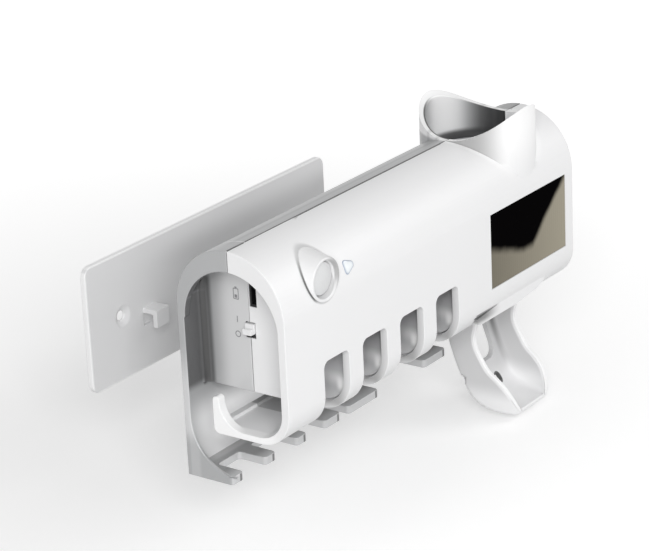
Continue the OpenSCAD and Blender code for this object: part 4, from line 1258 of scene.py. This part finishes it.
@dataclass
class Shells:
    """The two shells, the liner, the switch knob and the wall plate, with rounded edges.

    Attributes:
        finishes: the holder's finishes.
        shell_edge: width of the shells' rounded edges.
        plate_edge: width of the wall plate's.
        small_edge: width of the liner's and the knob's.
        net_step: spacing of the planes that even out the shells' long walls.
        light_hole, rim_foot, solar_recess, skirt, port, gusset_tip, collar: boxes whose edges stay sharp.
    """

    finishes: Finishes
    shell_edge: float = 0.4
    plate_edge: float = 0.5
    small_edge: float = 0.3
    net_step: float = 5.0
    light_hole: Box = (44, -62, 84, 58, -44, 101)
    rim_foot: Box = (10, -58.25, 74, 52, -20, 112)
    solar_recess: Box = (155, -60, 40, 238, -50, 83)
    skirt: Box = (145, -60, 25, 222, -50, 35)
    port: Box = (12, -40, 60, 24, -26, 95)
    gusset_tip: Box = (-1, -28, 2, 3, -23.5, 8)
    collar: Box = (168, -60, 100, 232, 2, 130)

    def build(self) -> None:
        """Builds each shell as a rounded copy of its node."""
        sharp_front = (self.light_hole, self.rim_foot, self.solar_recess, self.skirt, self.port, self.collar)
        sharp_rear = (self.gusset_tip, self.port, self.collar)
        for node, key, slot, body, width, step, plain in (
            ("front_cover", "cover", "white", Body.HOLDER, self.shell_edge, self.net_step, sharp_front),
            ("rear_housing", "shell", "silver", Body.HOLDER, self.shell_edge, self.net_step, sharp_rear),
            ("wall_plate", "plate", "plate", Body.WALL, self.plate_edge, 0.0, ()),
            ("chamber_liner", "liner", "liner", Body.HOLDER, self.small_edge, 0.0, ()),
            ("switch_slider", "white", "white", Body.SWITCH, self.small_edge, 0.0, ()),
        ):
            piece = softened(node, node + "_skin", width, step, plain)
            self.finishes.put(piece, key)
            place_piece(piece, body, (node,))


@dataclass
class SensorEye:
    """Milky domed lens of the motion sensor, a surface of revolution about an axis along Y.

    Attributes:
        finishes: the holder's finishes.
        centre_x: X of the axis.
        centre_z: Z of the axis.
        front_y: Y of the dome's middle.
        seat_y: Y of the lens's back.
        radius: its radius.
        dome: how far the dome falls back towards its edge.
        round: radius of the rounded edge.
        dome_rings: rings of points over the dome.
        edge_rings: rings of points over the rounded edge.
        around: points round the axis.
    """

    finishes: Finishes
    centre_x: float = EYE_AXIS[0]
    centre_z: float = EYE_AXIS[1]
    front_y: float = -56.9
    seat_y: float = -54.7
    radius: float = 7.5
    dome: float = 0.75
    round: float = 0.35
    dome_rings: int = 25
    edge_rings: int = 5
    around: int = 96

    def build(self) -> None:
        """Builds the lens: the dome falls with the square of the distance from its middle."""
        r = np.linspace(0.0, self.radius - self.round, self.dome_rings + 1)[1:]
        dome_y = self.front_y + self.dome * (r / self.radius) ** 2
        turn = np.linspace(0, np.pi / 2, self.edge_rings + 1)[1:]
        rim_r = self.radius - self.round + self.round * np.sin(turn)
        rim_y = dome_y[-1] + self.round * (1 - np.cos(turn))
        profile_r = np.concatenate([r, rim_r, [self.radius]])
        profile_y = np.concatenate([dome_y, rim_y, [self.seat_y]])
        angle = np.linspace(0, 2 * np.pi, self.around, endpoint=False)
        x = self.centre_x + profile_r[:, None] * np.cos(angle)[None, :]
        z = self.centre_z + profile_r[:, None] * np.sin(angle)[None, :]
        y = np.broadcast_to(profile_y[:, None], x.shape)
        points = np.stack([x, y, z], -1).reshape(-1, 3)
        mesh = mesh_from("sensor_lens", points, grid_faces(len(profile_r), self.around, True))
        obj = new_piece("sensor_lens", closed_up(mesh))
        self.finishes.put(obj, "lens")
        place_piece(obj, Body.HOLDER, ("pir_lens",))


@dataclass
class StatusWindow:
    """Rounded triangle of the status light, crowned a little, with a darker rim.

    Attributes:
        finishes: the holder's finishes.
        centre_x: X of its middle.
        tilt: how far up the arch it sits, in degrees from the front.
        side: half the distance between its left tips, and how far left of its middle they lie.
        right_tip: where its right tip lies, along the holder and up.
        corner: radius of its corners.
        corner_steps: points round each corner.
        back: distance of its back from the arch's axis.
        front: distance of its front from there.
        shares: each ring's share of the outline.
        crown: height of each ring but the first over the front.
        rim: how much of the rim's colour each ring has.
    """

    finishes: Finishes
    centre_x: float = 51.1
    tilt: float = 21.0
    side: float = 1.65
    right_tip: tuple[float, float] = (2.25, 0.2)
    corner: float = 1.6
    corner_steps: int = 12
    back: float = 23.5
    front: float = 29.1
    shares: tuple[float, ...] = (1.0, 1.0, 0.96, 0.9, 0.8, 0.6, 0.35, 0.1)
    crown: tuple[float, ...] = (-0.12, 0.0, 0.06, 0.12, 0.2, 0.25, 0.27)
    rim: tuple[float, ...] = (1.0, 1.0, 1.0, 0.75, 0.35, 0.05, 0.0, 0.0)

    def build(self) -> None:
        """Builds rings that shrink from the outline to the middle, each a little further out.

        The outline runs at the corner's radius round three tips. The rings stand along the arch's radius
        at the tilt: back from the arch's axis by cosine, and up from it by sine.
        """
        tips = np.array([self.right_tip, (-self.side, self.side), (-self.side, -self.side)])
        edge = np.roll(tips, -1, axis=0) - tips
        normal = np.arctan2(-edge[:, 0], edge[:, 1])
        before = np.roll(normal, 1)
        sweep = (normal - before) % (2 * np.pi)
        angle = before[:, None] + sweep[:, None] * np.linspace(0, 1, self.corner_steps)[None, :]
        outline = (tips[:, None, :] + self.corner * np.stack([np.cos(angle), np.sin(angle)], -1)).reshape(-1, 2)
        middle = tips.mean(axis=0)
        out = np.array([self.back, *(self.front + rise for rise in self.crown)])
        flat = middle + (outline - middle)[None, :, :] * np.array(self.shares)[:, None, None]
        t = math.radians(self.tilt)
        along, up = flat[:, :, 0], flat[:, :, 1]
        y = SEAM_Y - math.cos(t) * out[:, None] + math.sin(t) * up
        z = ARCH_Z + math.sin(t) * out[:, None] + math.cos(t) * up
        points = np.stack([self.centre_x + along, y, z], -1).reshape(-1, 3)
        count = len(outline)
        mesh = mesh_from("status_window", points, grid_faces(len(self.shares), count, True))
        mark = mesh.attributes.new("rim", "FLOAT", "POINT")
        mark.data.foreach_set("value", np.repeat(self.rim, count).astype(np.float32))
        obj = new_piece("status_window", closed_up(mesh))
        self.finishes.put(obj, "light_rim")
        place_piece(obj, Body.HOLDER, ("light_pipe",))


@dataclass
class PanelMarks:
    """Generic marks printed on the end panel: a ring and a bar by the switch, a cell by the port.

    Each mark is a band between two outlines (half width, half height, corner radius), at a height.

    Attributes:
        finishes: the holder's finishes.
        face_x: X of the panel's face.
        column_y: Y of the marks' middles.
        ink: half the ink's thickness.
        dot: inner outline of the filled marks.
        ring: outer outline, inner outline and height of the ring.
        bar: outline and height of the bar.
        cell: outer outline, inner outline and height of the cell.
        cell_tip: outline and height of the cell's tip.
        cell_charge: outline and height of the charge inside the cell.
    """

    finishes: Finishes
    face_x: float = 13.5
    column_y: float = -22.4
    ink: float = 0.03
    dot: Point = (0.06, 0.06, 0.03)
    ring: tuple[Point, Point, float] = ((1.5, 1.5, 1.49), (1.1, 1.1, 1.09), 67.2)
    bar: tuple[Point, float] = ((0.22, 1.5, 0.2), 74.2)
    cell: tuple[Point, Point, float] = ((1.5, 2.6, 0.4), (1.1, 2.2, 0.2), 86.0)
    cell_tip: tuple[Point, float] = ((0.6, 0.3, 0.1), 89.0)
    cell_charge: tuple[Point, float] = ((0.7, 0.75, 0.1), 84.9)

    def band(self, outer: Point, inner: Point, height: float) -> tuple[np.ndarray, np.ndarray]:
        """Gives a closed flat band between two rounded outlines, as thick as the ink on both sides.

        Args:
            outer: half width, half height and corner radius outside.
            inner: the same inside.
            height: how high its middle stands over the rack's underside.

        Returns:
            Its points, and its faces by point number.
        """
        rim, hole = rounded_outline(*outer), rounded_outline(*inner)
        loops = np.stack([rim, hole, hole, rim, rim])
        x = self.face_x + np.array([-self.ink, -self.ink, self.ink, self.ink, -self.ink])
        level = np.broadcast_to(x[:, None, None], loops.shape[:2] + (1,))
        points = np.concatenate([level, loops + np.array([self.column_y, height])], -1)
        return points.reshape(-1, 3), grid_faces(len(loops), len(rim), True)

    def build(self) -> None:
        """Builds the marks as one printed piece."""
        filled = ((shape, self.dot, height) for shape, height in (self.bar, self.cell_tip, self.cell_charge))
        bar, tip, charge = filled
        points, faces, start = [], [], 0
        for mark in (self.ring, bar, self.cell, tip, charge):
            some, net = self.band(*mark)
            points.append(some)
            faces.extend(net + start)
            start += len(some)
        obj = new_piece("panel_marks", closed_up(mesh_from("panel_marks", np.concatenate(points), faces)))
        self.finishes.put(obj, "ink")
        place_piece(obj, Body.HOLDER)


@dataclass
class PushLever:
    """Scoop that a brush pushes back, a squared half ring swept down to the toe.

    Each level is given by its front rim, its back and its width. Levels between them are
    smoothed, the outer skin follows a superellipse, and the inner skin lies a wall's thickness inside.
    The drain and the notch are rounded outlines (half width, half height, corner radius) cut through it.

    Attributes:
        finishes: the holder's finishes.
        centre_x: X of its middle.
        half_width: half its full width.
        wall: its wall's thickness.
        wall_share: the most that a wall takes of a level's depth.
        square: squareness of the outer skin's bow.
        inner_square: squareness of the inner skin's bow.
        levels: number of smoothed levels.
        around: points round each skin.
        window_half: half width and half height of the window.
        window_z: Z of the window's middle.
        window_round: radius of its corners.
        window_way: Y where the window's cut starts and ends.
        drain: outline of the drain.
        drain_way: where the drain's cut starts and ends, with X from the middle.
        notch: outline of the notch in the left wall.
        notch_way: Y where the notch's cut starts and ends.
        notch_z: Z of the notch.
        arms_from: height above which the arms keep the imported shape.
        edge: width of the scoop's rounded edges.
        arm_edge: width of the arms'.
        rim_reach: where the pale rim ends, fully and in part, past half the wall from the rim's middle.
        fold_reach: how far from the inner corner the dark fold is full, and where it ends.
        fold_fade: heights between which the fold grows from nothing to full.
        rows: front Y, front Z, back Y, back Z and share of the width of each level.
    """

    finishes: Finishes
    centre_x: float = 200.0
    half_width: float = 19.5
    wall: float = 2.4
    wall_share: float = 0.6
    square: float = 20.0
    inner_square: float = 9.0
    levels: int = 84
    around: int = 96
    window_half: tuple[float, float] = (11.5, 12.75)
    window_z: float = 0.25
    window_round: float = 6.0
    window_way: tuple[float, float] = (-12.0, -34.0)
    drain: Point = (2.1, 2.1, 2.09)
    drain_way: tuple[Point, Point] = ((5.0, -25.0, -25.0), (5.0, -42.0, -18.8))
    notch: Point = (2.7, 2.2, 0.6)
    notch_way: tuple[float, float] = (-22.6, -30.6)
    notch_z: float = -15.2
    arms_from: float = 25.2
    edge: float = 0.45
    arm_edge: float = 0.3
    # rim_reach: where the rim's painted highlight ends, fully and in part, past half the wall from the rim's middle.
    rim_reach: tuple[float, float] = (0.6, 1.1)
    # fold_reach: how far from the inner corner the fold's painted shade is full, and where it ends.
    fold_reach: tuple[float, float] = (0.5, 2.3)
    # fold_fade: heights between which the fold's painted shade grows from nothing to full.
    fold_fade: tuple[float, float] = (-24.0, 10.0)
    rows: tuple[tuple[float, ...], ...] = (
        (-38.2, 27, -19.2, 27, 1),
        (-37.6, 15, -19.6, 12, 1),
        (-36.3, 8, -20.6, 4.5, 1),
        (-37.2, 3, -22.6, -2, 1),
        (-40.4, -3, -25.1, -8.8, 1),
        (-43.8, -8, -28.4, -16.3, 0.99),
        (-48.6, -11.9, -33.2, -24.2, 0.97),
        (-52.8, -16.4, -40.5, -28.7, 0.93),
        (-55.6, -21.5, -48.2, -30.3, 0.85),
        (-57.2, -26.4, -54.6, -30.6, 0.74),
        (-57.6, -28.4, -57, -30.4, 0.64),
    )

    def smooth_rows(self) -> np.ndarray:
        """Passes a Catmull-Rom curve through the levels.

        Returns:
            Array of levels by five: front y, front z, back y, back z, share of the width.
        """
        rows = np.array(self.rows, float)
        ends = np.vstack([2 * rows[0] - rows[1], rows, 2 * rows[-1] - rows[-2]])
        t = np.linspace(0, len(rows) - 1 - 1e-9, self.levels)
        k = t.astype(int)
        u = (t - k)[:, None]
        p0, p1, p2, p3 = ends[k], ends[k + 1], ends[k + 2], ends[k + 3]
        square, cube = 2 * p0 - 5 * p1 + 4 * p2 - p3, 3 * p1 - p0 - 3 * p2 + p3
        return 0.5 * (2 * p1 + (p2 - p0) * u + square * u**2 + cube * u**3)

    def bow(self, square: float) -> tuple[np.ndarray, np.ndarray]:
        """Gives a superellipse at even steps along its length.

        Across is the sine and deep the cosine of the angle, each to the power of 2 over the squareness.

        Args:
            square: its squareness, 2 for a circle.

        Returns:
            How far each point lies across and deep, up to 1.
        """
        fine = 4001
        angle = np.linspace(-np.pi / 2, np.pi / 2, fine)
        across = np.sign(angle) * np.abs(np.sin(angle)) ** (2 / square)
        deep = np.abs(np.cos(angle)) ** (2 / square)
        deep[[0, -1]] = 0.0
        run = np.concatenate([[0.0], np.cumsum(np.hypot(np.diff(across), np.diff(deep)))])
        even = np.linspace(0, run[-1], self.around)
        return np.interp(even, run, across), np.interp(even, run, deep)

    def skin(self, rows: np.ndarray, inset: np.ndarray, square: float) -> np.ndarray:
        """Gives one skin as a grid: the bow scaled by each level's width and depth, less the inset.

        Args:
            rows: the smoothed levels.
            inset: how far inside the outer skin it lies, for each level.
            square: squareness of its bow.

        Returns:
            Array of levels by points round the bow by three.
        """
        across, bow_deep = self.bow(square)
        front, back = rows[:, 0:2], rows[:, 2:4]
        deep = np.linalg.norm(back - front, axis=1)
        way = (back - front) / deep[:, None]
        reach = (deep - inset)[:, None] * bow_deep[None, :]
        x = (self.half_width * rows[:, 4] - inset)[:, None] * across[None, :]
        yz = front[:, None, :] + way[:, None, :] * reach[:, :, None]
        return np.dstack([self.centre_x + x, yz[:, :, 0], yz[:, :, 1]])

    def tool(self, outline: np.ndarray, low: Point, high: Point) -> bpy.types.Object:
        """Makes a solid that carries an (x, z) outline from one point to another.

        Args:
            outline: the outline's points.
            low: where it starts.
            high: where it ends.

        Returns:
            The solid.
        """
        ends = np.array([low, high])
        points = np.zeros((2, len(outline), 3))
        points[:, :, 0] = outline[None, :, 0] + ends[:, None, 0]
        points[:, :, 1] = ends[:, None, 1]
        points[:, :, 2] = outline[None, :, 1] + ends[:, None, 2]
        mesh = mesh_from("tool", points.reshape(-1, 3), grid_faces(2, len(outline), True))
        return new_piece("tool", closed_up(mesh))

    def mark(
        self,
        obj: bpy.types.Object,
        name: str,
        line: np.ndarray,
        reach: tuple[float, float],
        fade: tuple[float, float] | None = None,
    ) -> None:
        """Marks the scoop's points by their distance from a line.

        Args:
            obj: the scoop.
            name: the attribute's name.
            line: points along the line, in millimetres from the holder's corner.
            reach: distances up to which the mark is 1 and from which it is 0, in millimetres.
            fade: heights between which it grows from 0 to its share, counted from the holder's corner.
        """
        count, batch = len(obj.data.vertices), 2000
        points = np.zeros(count * 3)
        obj.data.vertices.foreach_get("co", points)
        points = points.reshape(-1, 3)
        target = (line + CORNER) * MM
        near = np.full(count, 1.0)
        for part in np.array_split(np.arange(count), max(1, count // batch)):
            near[part] = np.linalg.norm(points[part, None, :] - target[None, :, :], axis=2).min(axis=1)
        full, none = reach
        share = np.clip((none - near / MM) / (none - full), 0, 1)
        if fade:
            low, high = fade
            share *= np.clip((points[:, 2] / MM - CORNER[2] - low) / (high - low), 0, 1)
        obj.data.attributes.new(name, "FLOAT", "POINT").data.foreach_set("value", share.astype(np.float32))

    def openings(self) -> list[bpy.types.Object]:
        """Makes the solids that cut the window, the drain and the notch.

        Returns:
            The solids.
        """
        window = rounded_outline(*self.window_half, self.window_round)
        middle, side = self.centre_x, self.centre_x - self.half_width
        drain_start, drain_end = ((middle + x, y, z) for x, y, z in self.drain_way)
        notch_start, notch_end = ((side, y, self.notch_z) for y in self.notch_way)
        window_start, window_end = ((middle, y, self.window_z) for y in self.window_way)
        return [
            self.tool(window, window_start, window_end),
            self.tool(rounded_outline(*self.drain), drain_start, drain_end),
            self.tool(rounded_outline(*self.notch), notch_start, notch_end),
        ]

    def build(self) -> None:
        """Builds the scoop with its window, drain and notch, and the arms that carry it.

        The scoop's rings run round the outer skin and back along the inner one. The top and the toe are
        closed by faces between the two skins.
        """
        rows = self.smooth_rows()
        deep = np.linalg.norm(rows[:, 0:2] - rows[:, 2:4], axis=1)
        inset = np.minimum(self.wall, self.wall_share * deep)
        outer, inner = self.skin(rows, np.zeros(len(rows)), self.square), self.skin(rows, inset, self.inner_square)
        ring = np.concatenate([outer, inner[:, ::-1]], axis=1)
        n, m = ring.shape[:2]
        k = np.arange(self.around - 1)
        top = np.stack([k, m - 1 - k, m - 2 - k, k + 1], -1)
        toe = (n - 1) * m + np.stack([k, k + 1, m - 2 - k, m - 1 - k], -1)
        mesh = mesh_from("lever_scoop", ring.reshape(-1, 3), [*grid_faces(n, m, True), *top, *toe])
        obj = new_piece("lever_scoop", closed_up(mesh))
        cut_by(obj, self.openings())
        closed_up(obj.data, 35)
        # Marks for the painted highlight along the rim and the painted shade in the inner fold.
        across, bow_deep = self.bow(self.inner_square)
        corner = int(np.argmax(across + bow_deep))
        rim_full, rim_end = (0.5 * self.wall + reach for reach in self.rim_reach)
        rim_line = np.concatenate([(outer[:, k] + inner[:, k]) / 2 for k in (0, -1)])
        self.mark(obj, "rim", rim_line, (rim_full, rim_end))
        fold_line = np.concatenate([inner[:, corner], inner[:, self.around - 1 - corner]])
        self.mark(obj, "fold", fold_line, self.fold_reach, self.fold_fade)
        round_edges(obj, self.edge, 4)
        self.finishes.put(obj, "lever")
        place_piece(obj, Body.LEVER, ("push_lever",))
        arms = softened("push_lever", "lever_arms", self.arm_edge, above=self.arms_from)
        self.finishes.put(arms, "lever")
        place_piece(arms, Body.LEVER)


# Light, floor and camera


@dataclass
class Studio:
    """Plain white studio round the holder, in metres.

    Attributes:
        floor_z: height of the floor.
        floor_side: half the floor's side.
        floor_colour: its linear colour.
        floor_lift: how brightly the floor shows by itself, near the holder and far from it.
        floor_reach: distances between which that grows.
        ambient: strength of the surrounding light.
        lamps: name, direction from the aim, side and power in watts of each lamp.
        lamp_far: how far the lamps hang from the aim.
        aim: the point that the lamps face.
        camera_turn: the camera's angle round the holder, its height and its roll, in degrees.
        camera_place: where the camera stands.
        camera_lens: its focal length in millimetres, on a 36 mm sensor.
        camera_shift: how far its picture is shifted across and up.
        camera_clip: nearest and farthest distance that it shows.
    """

    floor_z: float = -0.0785
    floor_side: float = 6.0
    floor_colour: Colour = (0.8, 0.8, 0.8)
    floor_lift: tuple[float, float] = (0.33, 0.65)
    floor_reach: tuple[float, float] = (0.12, 0.6)
    ambient: float = 0.38
    lamps: tuple[tuple[str, Point, float, float], ...] = (
        ("key", (-0.7, -0.58, 0.42), 0.9, 22.0),
        ("right", (0.6, -0.62, 0.5), 0.9, 7.0),
    )
    lamp_far: float = 1.9
    aim: Point = (0.0, -0.1, 0.0)
    camera_turn: Point = (-53.572, 20.551, -2.812)
    camera_place: Point = (-0.95006, -0.77040, 0.45399)
    camera_lens: float = 147.07
    camera_shift: tuple[float, float] = (0.00345, -0.00646)
    camera_clip: tuple[float, float] = (0.05, 20.0)

    def floor(self) -> None:
        """Lays a broad pale floor that looks white to the camera and keeps the shadow."""
        mesh = bpy.data.meshes.new("floor")
        side = self.floor_side
        corners = [(x, y, self.floor_z) for x, y in ((-side, -side), (side, -side), (side, side), (-side, side))]
        mesh.from_pydata(corners, [], [(0, 1, 2, 3)])
        obj = new_piece("floor", mesh)
        material, tree, shader = new_material("studio_floor")
        fill(tree, shader, {"Base Color": self.floor_colour, "Roughness": 0.9, "Specular IOR Level": 0.1})
        lift, add = tree.nodes.new("ShaderNodeEmission"), tree.nodes.new("ShaderNodeAddShader")
        path, away = tree.nodes.new("ShaderNodeLightPath").outputs, tree.nodes.new("ShaderNodeVectorMath")
        seen = math_node(tree, "MAXIMUM", path["Is Camera Ray"], path["Is Glossy Ray"])
        place, _ = place_nodes(tree)
        away.operation = "LENGTH"
        tree.links.new(place, away.inputs[0])
        grow = range_node(tree, away.outputs["Value"], *self.floor_reach, self.floor_lift)
        fill(tree, lift, {"Color": grey(1.0), "Strength": math_node(tree, "MULTIPLY", seen, grow)})
        tree.links.new(shader.outputs[0], add.inputs[0])
        tree.links.new(lift.outputs[0], add.inputs[1])
        tree.links.new(add.outputs[0], tree.nodes["Material Output"].inputs["Surface"])
        obj.data.materials.append(material)

    def world(self) -> None:
        """Sets a soft surrounding light that is white where it is seen or mirrored."""
        world = bpy.data.worlds.new("studio")
        bpy.context.scene.world = world
        world.use_nodes = True
        tree = world.node_tree
        path = tree.nodes.new("ShaderNodeLightPath").outputs
        through = math_node(tree, "MAXIMUM", path["Is Camera Ray"], path["Is Transmission Ray"])
        seen = math_node(tree, "MAXIMUM", through, path["Is Glossy Ray"])
        level = range_node(tree, seen, 0.0, 1.0, (self.ambient, 1.0))
        fill(tree, tree.nodes["Background"], {"Color": grey(1.0), "Strength": level})

    def lamp(self, name: str, place: Vector, size: float, power: float) -> None:
        """Hangs one square soft lamp that faces the aim.

        Args:
            name: the lamp's name.
            place: where it hangs.
            size: its side.
            power: its power in watts.
        """
        data = bpy.data.lights.new(name, "AREA")
        data.shape = "SQUARE"
        data.size = size
        data.energy = power
        obj = bpy.data.objects.new(name, data)
        bpy.context.scene.collection.objects.link(obj)
        way = place - Vector(self.aim)
        obj.matrix_world = Matrix.Translation(place) @ way.to_track_quat("Z", "Y").to_matrix().to_4x4()

    def camera(self) -> None:
        """Puts the camera at the photograph's angle, turned slightly about its own axis."""
        azimuth, height, roll = (math.radians(v) for v in self.camera_turn)
        back = Vector((math.sin(azimuth) * math.cos(height), -math.cos(azimuth) * math.cos(height), math.sin(height)))
        right = Vector((math.cos(azimuth), math.sin(azimuth), 0.0))
        up = back.cross(right)
        turned_right = math.cos(roll) * right + math.sin(roll) * up
        turned_up = -math.sin(roll) * right + math.cos(roll) * up
        matrix = Matrix((turned_right, turned_up, back)).transposed().to_4x4()
        matrix.translation = Vector(self.camera_place)
        data = bpy.data.cameras.new("photo_camera")
        data.sensor_fit = "HORIZONTAL"
        data.sensor_width = 36.0
        data.lens = self.camera_lens
        data.shift_x, data.shift_y = self.camera_shift
        data.clip_start, data.clip_end = self.camera_clip
        obj = bpy.data.objects.new("photo_camera", data)
        bpy.context.scene.collection.objects.link(obj)
        obj.matrix_world = matrix
        bpy.context.scene.camera = obj

    def build(self) -> None:
        """Sets the whole studio."""
        self.camera()
        self.floor()
        self.world()
        for name, way, side, watts in self.lamps:
            self.lamp(name, Vector(self.aim) + Vector(way).normalized() * self.lamp_far, side, watts)
        bpy.context.scene.view_settings.view_transform = "Standard"


def main() -> None:
    """Builds every piece."""
    logging.basicConfig(level=logging.INFO, format="%(message)s", force=True)
    finishes = Finishes()
    Studio().build()
    for part in (PlainNodes, Shells, SensorEye, StatusWindow, PanelMarks, PushLever):
        part(finishes).build()


if __name__ == "__main__":
    main()
